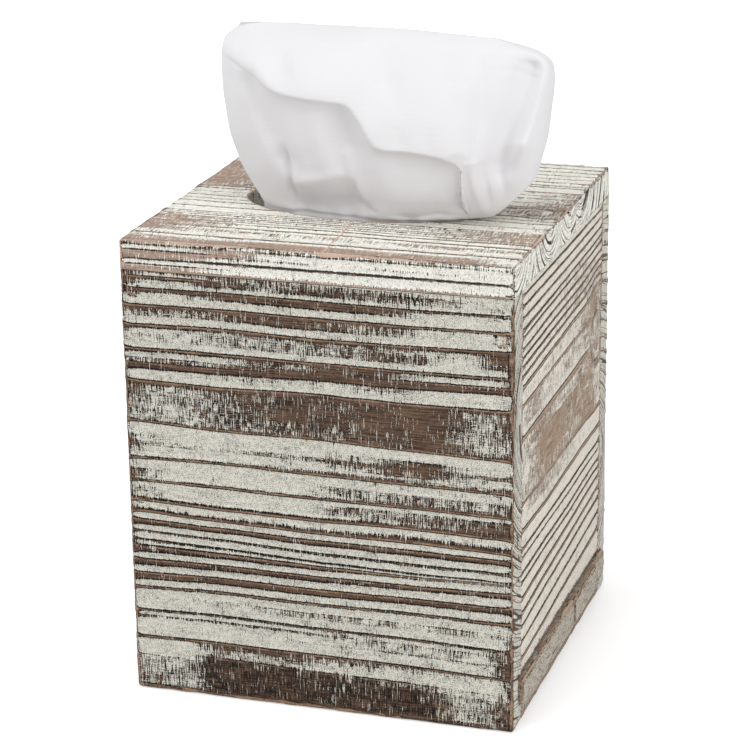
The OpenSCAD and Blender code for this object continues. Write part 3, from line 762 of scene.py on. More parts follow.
def whitewashed_fir(name, paint, thin_paint, bare, bare_light, char, tan, end_char, speckle, scoured, rings):
    """Fir that was torched, wire-brushed, brushed with off-white paint and rubbed across the grain.

    Gives the eye chalky paint with dark pores, ragged black edges of char and satin brown ridges. As it is
    rubbed, the paint goes first, then the char under it, then there is bare wood. speckle says how many pores
    the paint has, scoured how much of the char went with it, and rings how dark the end grain's rings are.
    """
    material, add = new_material(name)
    place = add("ShaderNodeUVMap", uv_map="grain")
    noise = {}
    for kind, (along, across, detail) in FIR_MARKS.items():
        scaled = add("ShaderNodeMapping", {"Vector": place, "Scale": (1 / MM / along, 1 / MM / across, 1)})
        noise[kind] = add("ShaderNodeTexNoise", {"Vector": scaled, "Scale": 1.0, "Detail": detail,
                                                 "Roughness": 0.55}, noise_dimensions="2D")
    wear, dark, rub_and_highlight, end = (add("ShaderNodeAttribute", give="Fac", attribute_name=mark)
                            for mark in Skin.MARKS)

    def sum_of(start, shares):
        """The start plus each noise, from -0.5 to 0.5, times its share."""
        total = start
        for kind, share in shares.items():
            centred = add("ShaderNodeMath", {0: noise[kind], 1: 0.5}, operation="SUBTRACT")
            total = add("ShaderNodeMath", {0: centred, 1: share, 2: total}, operation="MULTIPLY_ADD")
        return total

    def where(low, high, start, shares):
        """0 where the start plus the noises' shares is below low, 1 above high, and a smooth step between."""
        value = sum_of(start, shares)
        return add("ShaderNodeMapRange", {"Value": value, "From Min": low, "From Max": high}, **SMOOTH)

    # On the end grain a ring is a thin line of char, where its noise passes through the middle
    centred = add("ShaderNodeMath", {0: noise["ring"], 1: 0.5}, operation="SUBTRACT")
    off_ring = add("ShaderNodeMath", {0: centred}, operation="ABSOLUTE")
    ring = add("ShaderNodeMath", {0: where(0.04, 0.01, off_ring, {}), 1: rings}, operation="MULTIPLY")
    dark = add("ShaderNodeMath", {0: end, 1: ring, 2: dark}, operation="MULTIPLY_ADD")
    # Scratches lie in clusters, as the rubbing went across many rows at once
    centred = add("ShaderNodeMath", {0: noise["scratch"], 1: 0.5}, operation="SUBTRACT")
    cluster = add("ShaderNodeMath", {0: noise["cluster"], 1: 2.8}, operation="MULTIPLY")
    scratch = add("ShaderNodeMath", {0: centred, 1: cluster}, operation="MULTIPLY")
    worn = sum_of(wear, {"weave": 0.45, "fibre": 0.2, "blotch": 0.5, "pore": 0.3})
    worn = add("ShaderNodeMath", {0: scratch, 1: worn}, operation="ADD")
    # Here and there the rubbing dragged a hair of paint across bare wood
    hair = where(0.6, 0.72, noise["hair"], {})
    worn = add("ShaderNodeMath", {0: hair, 1: -0.34, 2: worn}, operation="MULTIPLY_ADD")

    stripped = where(0.485, 0.515, worn, {})
    scoured_wear = add("ShaderNodeMath", {0: wear, 1: scoured}, operation="ADD")
    bared = where(0.56, 0.84, scoured_wear, {"scratch": 0.8, "fibre": 0.6, "weave": 0.3, "blotch": 0.4})
    pores = where(-speckle, 0.42 - speckle, 0.0, {"pore": 1.5, "grit": 0.6, "blotch": 0.4})
    streak = where(0.15, 0.85, 0.5, {"fibre": 1.5, "grit": 0.6})
    charred = where(0.28, 0.55, dark, {"scratch": 1.2, "grit": 0.6, "pore": 0.4})
    # Tan where the wood is rubbed bare, and where the bands' ridges carry a painted highlight
    rubbed = where(0.35, 0.62, rub_and_highlight, {"scratch": 0.8, "fibre": 0.5, "blotch": 0.9})

    painted = add("ShaderNodeMix", {"Factor": pores, 6: linear(paint), 7: linear(thin_paint)}, **COLOURS)
    wood = add("ShaderNodeMix", {"Factor": streak, 6: linear(bare), 7: linear(bare_light)}, **COLOURS)
    wood = add("ShaderNodeMix", {"Factor": bared, 6: linear(char), 7: wood}, **COLOURS)
    colour = add("ShaderNodeMix", {"Factor": stripped, 6: painted, 7: wood}, **COLOURS)
    soot = add("ShaderNodeMix", {"Factor": end, 6: linear(char), 7: linear(end_char)}, **COLOURS)
    colour = add("ShaderNodeMix", {"Factor": charred, 6: colour, 7: soot}, **COLOURS)
    tan_wood = add("ShaderNodeMix", {"Factor": streak, 6: linear(tan), 7: linear(bare_light)}, **COLOURS)
    colour = add("ShaderNodeMix", {"Factor": rubbed, 6: colour, 7: tan_wood}, **COLOURS)

    # The coat of paint stands a little above the wood where it was stripped
    height = sum_of(0.0, {"fibre": 0.6, "pore": 0.35, "grit": 0.3})
    height = add("ShaderNodeMath", {0: stripped, 1: -0.8, 2: height}, operation="MULTIPLY_ADD")
    bump = add("ShaderNodeBump", {"Height": height, "Strength": 0.9, "Distance": 0.1 * MM})
    finish_material(add, {"Base Color": colour, "Normal": bump, "Roughness": 0.8, "Specular IOR Level": 0.12})
    return material


def sawn_fir(name, light, deep):
    """Fir as it leaves the saw, for the faces inside: pale tan with fine darker fibres."""
    material, add = new_material(name)
    place = add("ShaderNodeTexCoord", give="Object")
    # Fibres are 17 mm long and 1.1 mm apart up the boards, drawn that coarse so that they show
    scaled = add("ShaderNodeMapping", {"Vector": place, "Scale": (60, 60, 900)})
    fibres = add("ShaderNodeTexNoise", {"Vector": scaled, "Scale": 1.0, "Detail": 4.0})
    colour = add("ShaderNodeMix", {"Factor": fibres, 6: linear(light), 7: linear(deep)}, **COLOURS)
    bump = add("ShaderNodeBump", {"Height": fibres, "Strength": 0.6, "Distance": 0.1 * MM})
    finish_material(add, {"Base Color": colour, "Normal": bump, "Roughness": 0.8})
    return material


def filled_steel(name, steel, filler, rust):
    """Heads of steel brads, filled over and painted: dull grey with pale filler and brown specks of rust."""
    material, add = new_material(name)
    place = add("ShaderNodeTexCoord", give="Object")
    # Smears of filler are about 1 mm wide, and specks of rust 0.4 mm, both with blurred edges
    smear = add("ShaderNodeTexNoise", {"Vector": place, "Scale": 900.0, "Detail": 2.0})
    speck = add("ShaderNodeTexNoise", {"Vector": place, "Scale": 2600.0, "Detail": 2.0})
    smeared = add("ShaderNodeMapRange", {"Value": smear, "From Min": 0.42, "From Max": 0.54})
    rusty = add("ShaderNodeMapRange", {"Value": speck, "From Min": 0.6, "From Max": 0.72})
    colour = add("ShaderNodeMix", {"Factor": smeared, 6: linear(steel), 7: linear(filler)}, **COLOURS)
    colour = add("ShaderNodeMix", {"Factor": rusty, 6: colour, 7: linear(rust)}, **COLOURS)
    bump = add("ShaderNodeBump", {"Height": smear, "Strength": 0.7, "Distance": 0.2 * MM})
    finish_material(add, {"Base Color": colour, "Normal": bump, "Roughness": 0.65, "Metallic": 0.15})
    return material


def tissue_paper(name, white):
    """Two-ply facial tissue, dry-creped: matt white with fine ridges that lie across the roll."""
    material, add = new_material(name)
    # Crepe is about 0.3 mm from ridge to ridge, drawn at 0.8 mm so that it shows
    place = add("ShaderNodeTexCoord", give="Object")
    scaled = add("ShaderNodeMapping", {"Vector": place, "Scale": (140, 140, 1250)})
    crepe = add("ShaderNodeTexNoise", {"Vector": scaled, "Scale": 1.0, "Detail": 3.0})
    bump = add("ShaderNodeBump", {"Height": crepe, "Strength": 0.5, "Distance": 0.16 * MM})
    finish_material(add, {"Base Color": linear(white), "Normal": bump, "Roughness": 0.9,
                          "Specular IOR Level": 0.2})
    return material


# Three copies of one finish, set apart by the light on their faces. This one, on the front, left and back,
# has darker paint and bare wood: painted shade.
wall_fir_painted_darker = whitewashed_fir(
    "fir_torched_whitewashed_walls_painted_darker",
    paint="#DEDBD0", thin_paint="#969389", bare="#3F3129", bare_light="#735C4C",
    char="#1E1A18", tan="#B19276", end_char="#5A4B41", speckle=0.12, scoured=0.03, rings=0.7,
)
# The right side's copy has lighter paint and much lighter bare wood: painted light, for the stronger lamp on
# the right.
right_fir_painted_lighter = whitewashed_fir(
    "fir_torched_whitewashed_right_painted_lighter",
    paint="#E6E0D5", thin_paint="#B7AFA4", bare="#83705F", bare_light="#B39C87",
    char="#433B34", tan="#BDA68F", end_char="#5A4B41", speckle=0.04, scoured=0.12, rings=0.7,
)
# The top's copy has the whitest paint and lighter bare wood: painted light, for the lamp above.
top_fir_painted_lighter = whitewashed_fir(
    "fir_torched_whitewashed_top_painted_lighter",
    paint="#F3F1E8", thin_paint="#B5B1A6", bare="#8E7B6C", bare_light="#BFA898",
    char="#3A342E", tan="#CEB49F", end_char="#3A322C", speckle=0.04, scoured=0.15, rings=0.8,
)
rubbed_fir = whitewashed_fir(
    "fir_torched_rubbed_bare",
    paint="#CFC8BA", thin_paint="#8C8479", bare="#8D7A69", bare_light="#B39D88",
    char="#3C342D", tan="#BEA68D", end_char="#5F5348", speckle=0.17, scoured=0.2, rings=0.25,
)
inside_fir = sawn_fir("fir_sawn_inside", light="#C3A27C", deep="#9C7B58")
brad_heads = filled_steel("steel_brads_filled", steel="#7E7A74", filler="#C4BFB4", rust="#5C4636")
two_ply_tissue = tissue_paper("tissue_paper_two_ply", white="#E3E2E4")


def finish_board(piece, node, body):
    """Lets a piece stand for its node, which it hides, and ride on its body."""
    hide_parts(node)
    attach(piece, body)


sawn = Grain(CASE_WIDE, 0, BOARD_T, SAWN, seed=90)

grain = Grain(CASE_WIDE, BOARD_T, CASE_TOP, FRONT, seed=11, spots=FRONT_SPOTS, piths=[(33, 57)],
              turned=(64, 102), scorched=FRONT_SCORCHED)
front = Board("front_board", "+x", "-z", grain, sawn, seed=1)
piece = build_board("front_board_finish", front, [wall_fir_painted_darker, inside_fir],
                    groove=(CASE_TOP - GROOVE_HIGH, CASE_TOP - GROOVE_LOW))
finish_board(piece, "front_board", "case")

# The rows of the back board are counted from below, so its groove opens at its far end, as in the front
grain = Grain(CASE_WIDE, BOARD_T, CASE_TOP, BACK, seed=21, knots=BACK_KNOTS, piths=[(26, 66)])
back = Board("back_board", "+x", "+z", grain, sawn, {"top": EASE, "bottom": JOINT_EASE}, seed=2)
piece = build_board("back_board_finish", back, [wall_fir_painted_darker, inside_fir],
                    groove=(BOARD_T + GROOVE_LOW, BOARD_T + GROOVE_HIGH))
finish_board(piece, "back_board", "case")

for name in ("front_left_brads", "front_right_brads", "back_left_brads", "back_right_brads"):
    for slot in bpy.data.objects[name].material_slots:
        slot.material = brad_heads

inner_deep = CASE_DEEP - 2 * BOARD_T
right_last = CASE_TOP - box_of("right_board")[0][2]


def board_between(node, along, grain, seed, fir):
    """A board between the front and the back, to which both of its ends are joined."""
    board = Board(node, along, "-z", grain, sawn, {"start": JOINT_EASE, "end": JOINT_EASE}, seed)
    piece = build_board(node + "_finish", board, [fir, inside_fir], JOINED_DEPTH_STEP)
    finish_board(piece, node, "case")


grain = Grain(inner_deep, BOARD_T, right_last, RIGHT, seed=31, knots=RIGHT_KNOTS)
board_between("right_board", "+y", grain, 3, right_fir_painted_lighter)
grain = Grain(inner_deep, BOARD_T, CASE_TOP, LEFT, seed=41, knots=LEFT_KNOTS)
board_between("left_board", "-y", grain, 4, wall_fir_painted_darker)

# The top board is glued up of four strips, each with a pith of its own
top_edge = Grain(CASE_WIDE, 0, BOARD_T, TOP_FRONT, seed=50)
grain = Grain(CASE_WIDE, 0, CASE_DEEP, TOP, seed=51, knots=TOP_KNOTS, cracks=[(71.1, 97, 72.8, 138)],
              piths=[(-6, 137), (-4, 90), (-5, 62), (-6, 46)],
              oval=(CASE_WIDE / 2, CASE_DEEP / 2, *MOUTH), end_line=0.42)
top = Board("top_board", "+x", "-y", grain, top_edge, {"top": EASE}, seed=5)

# The mesh of the top: how many rows follow the edge of the opening, how far other rows stay from its front
# and back and from those rows, and steps across the grain and along it
RIM_ROWS = 61
RIM_GAP, INNER_GAP = 0.2, 0.12
TOP_ROW_STEP, TOP_COLUMN_STEP = 0.5, 1.45
# The rim's marks reach this far from the edge of the opening
RIM_REACH = 3


def rows_round_mouth(grain, height):
    """The rows of the top board, and the first and last of them that meet the opening.

    The opening's own rows lie at y = b sin t for even steps of t, so they crowd at its front and back.
    """
    rows = grain.rows(gap=TOP_ROW_STEP)
    rim = height / 2 + MOUTH[1] * np.sin(np.linspace(-90, 90, RIM_ROWS) * np.pi / 180)
    rows = np.concatenate([rows[(rows < rim[0] - RIM_GAP) | (rows > rim[-1] + RIM_GAP)], rim])
    inside = grain.rows()
    inside = inside[(inside > rim[0] + RIM_GAP) & (inside < rim[-1] - RIM_GAP)]
    gaps = np.abs(inside[:, None] - rim[None, :]).min(1)
    rows = np.sort(np.concatenate([rows, inside[gaps > INNER_GAP]]))
    first, last = (int(np.argmin(np.abs(rows - edge))) for edge in (rim[0], rim[-1]))
    return rows, first, last


def settle_round_mouth(board, u, g, w):
    """As for any board, then the rim is eased: the nearer of two distances grows, as on the corners.

    A point's distance from the oval is (r - 1) / s, where r is its own place in the oval and s is how fast r
    grows outwards there.
    """
    (length, height, _), (mouth_a, mouth_b) = board.size, MOUTH
    u, g, w = np.broadcast_arrays(*(np.asarray(x, float) for x in (u, g, w)))
    place, marks = board.settle(u, g, w)
    x, y = u - length / 2, board.grain.across(g, u) - height / 2
    out = np.hypot(x / mouth_a, y / mouth_b)
    steep = np.hypot(x / mouth_a ** 2, y / mouth_b ** 2) / np.maximum(out, 1e-6)
    away = (out - 1) / np.maximum(steep, 1e-6)
    at_rim = np.abs(away) < RIM_REACH
    total = np.clip(away, 0, None) + w
    short = np.clip(RIM_EASE - total, 0, None) / 2 * at_rim
    way = np.stack([x / mouth_a ** 2, -y / mouth_b ** 2, 0 * x], -1)
    way = way / np.maximum(np.linalg.norm(way, axis=-1, keepdims=True), 1e-9)
    place = place + way * short[..., None] - np.array([0, 0, 1.0]) * short[..., None]
    marks[RUB_AND_HIGHLIGHT] = np.maximum(marks[RUB_AND_HIGHLIGHT], 0.75 * (1 - ramp(total, 0.3, 1.3)) * at_rim)
    return place, marks


def build_top(board, materials):
    """The top board: its face is two grids, left and right of the opening, which meet on the middle line.

    At a row v the opening's edge is x = a sqrt(1 - (y / b)^2) out from the middle, so each grid runs from
    the side of the board to that edge. The wall of the opening is the same edge, carried down.
    """
    grain, (length, height, thick) = board.grain, board.size
    half, (mouth_a, mouth_b) = length / 2, MOUTH
    rows, first, last = rows_round_mouth(grain, height)
    depths = depths_of(thick, ROW_STEP)
    shares = columns_of(half, TOP_COLUMN_STEP) / half
    shift = pattern_shift(board)
    skin = Skin()

    def opening(v):
        """How far the edge of the opening lies from the middle line at v."""
        return mouth_a * np.sqrt(np.clip(1 - ((v - height / 2) / mouth_b) ** 2, 0, None))

    row, hole, depth = rows[:, None], rows[first:last + 1, None], depths[None, :]
    for side in (-1, 1):
        right = side > 0
        edge = half - opening(rows)[:, None]
        u = length - shares * edge if right else shares * edge
        skin.patch(*settle_round_mouth(board, u, row, 0.0), (u + shift, row + 0 * u), flip=right)
        u = length if right else 0.0
        ring = grain.ring(*np.broadcast_arrays(row, depth))
        uv = (shift + side * depth + u, ring)
        end = skin.patch(*settle_round_mouth(board, u, row, depth), uv, flip=not right)
        u = (length - shares * half if right else shares * half)[:, None]
        edges = []
        for g, outside, flip in ((0.0, -depth, right), (height, height + depth, not right)):
            uv = (u + shift, outside + 0 * u)
            edges.append(skin.patch(*settle_round_mouth(board, u, g, depth), uv, flip=flip))
        place, marks = settle_round_mouth(board, half + side * opening(hole), hole, depth)
        marks[WEAR] = 0.42 + 0.2 * smooth_noise(hole / 3, depth / 2, 7)
        wall = skin.patch(place, marks, (hole + shift + WALL_APART, depth + 0 * hole), flip=right)
        loop = np.concatenate([edges[0][:, -1], wall[:, -1], edges[1][::-1, -1], end[::-1, -1]])
        skin.fan(loop[::-1] if right else loop)
    return skin.mesh("top_board_finish", materials)


piece = build_top(top, [top_fir_painted_lighter, inside_fir])
finish_board(piece, "top_board", "case")

grain = Grain(inner_deep, CASE_TOP - GROOVE_LOW, CASE_TOP, RAIL, seed=61, valley=RAIL_VALLEY)
board_between("right_rail", "+y", grain, 6, rubbed_fir)

# The bottom: three slats, glued edge to edge, whose outer ends were sanded round
glued = {"start": JOINT_EASE, "top": JOINT_EASE, "bottom": JOINT_EASE}
for number, name in enumerate(("bottom_slat_front", "bottom_slat_middle", "bottom_slat_back")):
    low, high = box_of(name)
    length, width = high[0] - low[0], high[1] - low[1]
    bands = [(share * width, share * width, wear) for share, wear in SLAT_BANDS]
    grain = Grain(length, 0, width, bands, seed=70 + number, piths=[(9 * number - 14, width * 0.45)],
                  valley=SLAT_VALLEY, end_line=0.1)
    slat = Board(name, "+x", "-y", grain, sawn, glued, seed=7 + number)
    piece = build_board(name + "_finish", slat, [rubbed_fir, inside_fir], grid_back=True, gap=0.6)
    finish_board(piece, name, "bottom_panel")


# The tissue: its box in the frame, its width and depth, and how far it stays clear of the opening
TISSUE_LOW, TISSUE_HIGH = box_of("tissue")
TISSUE_W, TISSUE_DEPTH, TISSUE_PLAY = 122.0, 46.0, 0.3
# The fold at the top is lifted by up to this much, and the two plies together are so thick
LIFT = 1.7
PLIES = 0.2
RISE = TISSUE_HIGH[2] - CASE_TOP - LIFT
# Height as a share of the rise, and the place of the left and right edges as a share of half the width
LEFT_EDGE = [
    (-1, -0.6), (-0.05, -0.6), (0.04, -0.65), (0.2, -0.755), (0.4, -0.83), (0.63, -0.862), (0.8, -0.866),
    (0.93, -0.85), (0.965, -0.8), (1, -0.71),
]
RIGHT_EDGE = [
    (-1, 0.7), (0, 0.75), (0.037, 0.821), (0.2, 0.99), (0.44, 1.062), (0.76, 1.106), (0.87, 1.1),
    (0.91, 1.062), (0.955, 0.965), (0.985, 0.83), (1, 0.7),
]
# The brow of the front, across and up in millimetres: the sheet hangs over below it
BROW = [
    (-51.5, 222.6), (-46.5, 221), (-41, 219), (-34, 216), (-28, 213.5), (-24, 212.4), (-16, 211.6),
    (-7.5, 211), (-0.5, 210.4), (2.1, 208.5), (5.5, 204.2), (8, 199.4), (10.5, 196.2), (14, 195.4),
    (24.5, 195.2), (34.5, 193.6), (39.5, 192.2), (42, 190.2), (43, 186.6), (44, 181.2), (45, 175), (46, 167),
    (47.5, 155),
]
# Lines as shares of the depth: the back by height, the front at the rim, brow and top, and the middle
BACK_LINE = [(-1, 0.1), (0, 0.15), (0.2, 0.2), (0.45, 0.19), (0.7, 0.1), (0.86, 0), (1, -0.18)]
RIM_FRONT, BROW_FRONT, TOP_FRONT_LINE, MIDDLE = -0.56, -0.76, -0.34, -0.18
# The line of the fold at the top, and the share of the rise at which the sheet begins to close to it
TOP_LINE = -0.26
CLOSES = 0.93
# By what share the sheet is wider than the opening, high above it
SPREAD = 0.725
# How far the front is drawn in below the brow
DRAWN_IN = 4.8
# Rings of the hem, the neck, the free part and the closing fold, and places along half a ring
HEM_RINGS, NECK_RINGS, FREE_RINGS, CLOSING_RINGS = 26, 19, 104, 13
PLACES = 151
# The hem is turned up inside, to this far above the case, and lies this far above the sheet's lowest edge
HEM_TOP, HEM_LOW = 8, 0.8
# Folds of the front: places across and up in millimetres, width, and how far they stand out or, below 0, in.
# A crease is sharp and a fold is soft.
FOLDS = [
    ("crease", [(-24, 195), (-23, 189), (-22, 182), (-21.5, 176), (-22, 169)], 1.8, -2.2),
    ("fold", [(-35.5, 214), (-32.5, 205), (-27.5, 197.5), (-23, 188)], 4.2, -2.0),
    ("fold", [(-25, 186), (-24, 178), (-24.5, 169)], 1.6, 0.9),
    ("crease", [(-53.5, 223), (-46.5, 220.6), (-41, 218.6), (-34, 215.6), (-27.5, 213)], 1.4, -1.3),
    ("fold", [(-39, 229.7), (-35.5, 228.4), (-30, 225.2), (-26, 222), (-22, 217.5)], 3.6, -1.7),
    ("fold", [(-47.5, 226), (-39.5, 223), (-31.5, 217.5)], 3.2, 0.9),
    ("fold", [(5, 234), (9, 227.6), (12.5, 217)], 4.5, -0.8),
    ("fold", [(16.5, 214), (19, 206), (20, 199)], 4.0, -0.8),
    ("fold", [(-18.5, 180.5), (-10.5, 182), (-3.6, 184.5)], 2.6, 1.3),
    ("fold", [(-18.5, 170), (-9.5, 171), (-1.6, 172)], 6.5, -4.6),
    ("fold", [(0.4, 192), (1.1, 184), (4.4, 176)], 2.2, 1.2),
    ("crease", [(1.8, 186), (1.7, 179), (3.4, 174), (6.5, 171.8), (10.5, 171)], 1.1, -2.0),
    ("fold", [(62, 221), (59.5, 210.8), (56, 200.9), (53, 190)], 5.0, -8.0),
    ("crease", [(66, 227), (65, 214), (63, 203), (60.5, 195), (58.5, 187)], 3.0, 4.0),
    ("fold", [(60, 196), (57.5, 185), (56, 175)], 2.6, 1.5),
    ("fold", [(52, 186), (53.5, 181), (53.5, 174)], 2.0, -2.8),
    ("crease", [(47, 190), (48.5, 182), (49, 170)], 1.1, -1.8),
    ("fold", [(44, 191), (45, 181.5), (46.5, 173)], 1.5, 1.2),
    ("fold", [(12.5, 188), (16.5, 178), (18.5, 170)], 6.0, 1.0),
    ("fold", [(-10.5, 203), (-8.5, 196), (-7.5, 189)], 5.0, 1.2),
    ("fold", [(20.5, 169), (30.5, 170.5), (40.5, 170)], 5.0, -2.2),
    ("crease", [(12, 171.2), (21.5, 169.4), (30, 171.5), (40.5, 171.1)], 1.1, -1.4),
    ("crease", [(51.5, 228.4), (57.5, 227.4), (63.5, 225)], 0.9, -1.0),
    ("crease", [(53.5, 225), (58.5, 224.2), (63.5, 221.6)], 0.9, -0.9),
    ("crease", [(55.5, 221.6), (63.5, 218)], 0.9, -0.8),
]


def blended(h, table, width):
    """A line through the points of a table, with its corners rounded: the mean of five places on it."""
    return sum(np.interp(h + share * width, *np.transpose(table)) for share in (-1, -0.5, 0, 0.5, 1)) / 5


def off_line(x, z, line):
    """Distance of a place from a line of points, its side, and how far along the line its nearest point is.

    The side is 1 left of the line's way and -1 right of it, and along goes from 0 to 1.
    """
    line = np.array(line, float)
    nearest = np.full(np.broadcast(x, z).shape, np.inf)
    side, along = np.zeros(nearest.shape), np.zeros(nearest.shape)
    for i, (a, b) in enumerate(zip(line[:-1], line[1:])):
        way = b - a
        share = np.clip(((x - a[0]) * way[0] + (z - a[1]) * way[1]) / (way @ way), 0, 1)
        off_x, off_z = x - a[0] - share * way[0], z - a[1] - share * way[1]
        away = np.hypot(off_x, off_z)
        closer = away < nearest
        nearest = np.where(closer, away, nearest)
        side = np.where(closer, np.sign(off_z * way[0] - off_x * way[1]), side)
        along = np.where(closer, (i + share) / (len(line) - 1), along)
    return nearest, side, along


def front_line(x, h):
    """The front's place x millimetres across, as a share of the depth.

    It leans out by h^0.5 up to the height of the brow, and goes back above it by the power 1.6. Below the
    brow it is drawn in by (1 - e^-(d/2.6)) e^-(d/17) at a distance d, less so towards the left end.
    """
    brow = np.maximum((blended(x, BROW, 2.5) - CASE_TOP) / RISE, 0.1)
    out = BROW_FRONT - RIM_FRONT
    below = RIM_FRONT + out * np.clip(h / brow, 0, 1) ** 0.5
    above = BROW_FRONT + (TOP_FRONT_LINE - BROW_FRONT) * np.clip((h - brow) / (1 - brow), 0, 1) ** 1.6
    away, side, _ = off_line(x, CASE_TOP + RISE * h, BROW)
    under = np.where(side < 0, away, 0)
    drawn_in = DRAWN_IN * (1 - np.exp(-under / 2.6)) * np.exp(-under / 17) * ramp(h, 0.0, 0.12)
    drawn_in = drawn_in * (0.3 + 0.7 * ramp(x, -46, -28)) * (1 - ramp(x, 40, 49))
    return np.where(h < brow, below, above) + drawn_in / TISSUE_DEPTH


def folds_at(x, z):
    """How far the folds stand out at a place across and up.

    Each adds its height times a bell e^-(d/w)^2 or, for a crease, a cusp e^-d/w, at a distance d from its
    line. Creases fade towards their ends.
    """
    total = np.zeros(np.broadcast(x, z).shape)
    for kind, line, width, height in FOLDS:
        away, _, along = off_line(x, z, line)
        if kind == "fold":
            total += height * bell(away, width)
        else:
            fading = ramp(np.minimum(along, 1 - along), -0.02, 0.3)
            total += height * fading * np.exp(-away / width)
    return total


def puffed_sheet(share, front, h, closing):
    """Places across and in depth of the sheet before it has folds, at shares of its rings and at heights.

    A place across is the middle of the two edges plus its share of half their distance, and its depth goes
    from the middle to the front or back line by (1 - |share|^(2/r))^(r/2), where r is larger, and the ring
    rounder, towards the left. Below the rim of the opening, and less above it, the oval holds the sheet in.
    """
    left, right = blended(h, LEFT_EDGE, 0.035), blended(h, RIGHT_EDGE, 0.035)
    x = (left + right) / 2 + (right - left) / 2 * share
    side = np.where(front, front_line(x * TISSUE_W / 2, h), np.interp(h, *np.transpose(BACK_LINE)))
    side = TOP_LINE + (side - TOP_LINE) * closing
    middle = TOP_LINE + (MIDDLE - TOP_LINE) * closing
    ring_round = 0.62 + 0.34 * ramp(-share, 0.1, 1)
    bulge = (1 - np.abs(share) ** (2 / ring_round)).clip(0) ** (ring_round / 2)
    x, y = x * TISSUE_W / 2, (middle + (side - middle) * bulge) * TISSUE_DEPTH
    reach = np.hypot(x / (MOUTH[0] - TISSUE_PLAY), y / (MOUTH[1] - TISSUE_PLAY))
    tight = np.maximum(1, reach / (1 + SPREAD * np.clip(h, 0, None) ** 0.35))
    return x / tight, y / tight


def with_folds(x, y, z, share, front, closing):
    """The depth of the sheet with its folds.

    The front has the listed folds, soft waves and a crumple at the right. The back has gathers like a sine,
    which the front has too where the opening holds it.
    """
    soft = 0.7 * smooth_noise(x / 15 + 3, z / 17, 201) + 0.42 * smooth_noise(x / 6, z / 9, 202)
    crumple = 0.3 * smooth_noise(x / 5, z / 1.1, 203) * np.exp(-((x - 58) / 7) ** 2 - ((z - 224) / 6) ** 2)
    lean = x * (1 - 0.35 * ramp(z, CASE_TOP, CASE_TOP + 60))
    gathers = np.sin(2 * np.pi * lean / 7.5 + 2.6 * smooth_noise(x / 11, z / 50, 204))
    wander = 0.75 + 0.35 * smooth_noise(x / 13, z / 24, 206)
    in_neck = 1 - ramp(z, CASE_TOP - 7, CASE_TOP + 4)
    fading = 1 - 0.75 * ramp(z, CASE_TOP, CASE_TOP + 48)
    in_front = (folds_at(x, z) + soft + crumple) * (1 - in_neck)
    in_front = in_front + 1.35 * in_neck * wander * (gathers - 1.1)
    behind = 1.3 * smooth_noise(x / 9 + z / 30, z / 26, 205) + 1.9 * wander * fading * (gathers - 1)
    y = y + np.where(front, -in_front, behind) * (1 - np.abs(share) ** 8) * closing
    half_width, half_depth = MOUTH - TISSUE_PLAY
    limit = np.sqrt(np.clip(1 - (x / half_width) ** 2, 0, None)) * half_depth
    return y + (1 - ramp(z, CASE_TOP + 0.1, CASE_TOP + 0.8)) * (np.clip(y, -limit, limit) - y)


def tissue_points():
    """Rings of the sheet, from the hem that is turned up inside, down and out, and up to the fold at its top.

    A ring runs over shares from -1 to 1 along the front and back again. They are 1.5 t - 0.5 t^3 for even
    steps of t, and so lie closer at the ends. The closing rings follow a quarter of a circle.
    """
    steps = np.linspace(-1, 1, PLACES)
    across = 1.5 * steps - 0.5 * steps ** 3
    share = np.concatenate([across, across[-2:0:-1]])[None, :]
    front = (np.arange(share.size) < steps.size)[None, :]
    hem = np.linspace(CASE_TOP + HEM_TOP, TISSUE_LOW[2] + HEM_LOW, HEM_RINGS)
    neck = np.linspace(TISSUE_LOW[2], CASE_TOP, NECK_RINGS + 1)[:-1]
    quarter = np.linspace(0, np.pi / 2, CLOSING_RINGS + 1)[1:]
    rise = np.concatenate([np.linspace(0, CLOSES, FREE_RINGS), CLOSES + (1 - CLOSES) * np.sin(quarter)])
    z = np.concatenate([hem, neck, CASE_TOP + RISE * rise])[:, None]
    in_opening = (z - CASE_TOP + BOARD_T) / (CASE_TOP - BOARD_T - TISSUE_LOW[2])
    h = np.where(z < CASE_TOP, np.minimum(in_opening, 0), (z - CASE_TOP) / RISE)
    closing = np.sqrt(np.clip(1 - (np.clip(h - CLOSES, 0, None) / (1 - CLOSES)) ** 2, 0, 1))
    x, y = puffed_sheet(share, front, h, closing)
    y = with_folds(x, y, z, share, front, closing)
    z = z + LIFT * ramp(h, 0.6, 1) * (1 - ramp(x, 8, 54)) * (0.3 + 0.7 * ramp(x, -52, -34))
    # The hem lies inside the neck, closer to the middle the higher it is turned up
    inward = np.zeros((hem.size + neck.size + rise.size, 1))
    inward[:hem.size, 0] = 0.04 + 0.12 * ramp(hem, TISSUE_LOW[2], TISSUE_LOW[2] + 8)
    x, y = x - inward * (x - 2), y - inward * (y + 8)
    return np.stack(np.broadcast_arrays(x, y, z), -1)


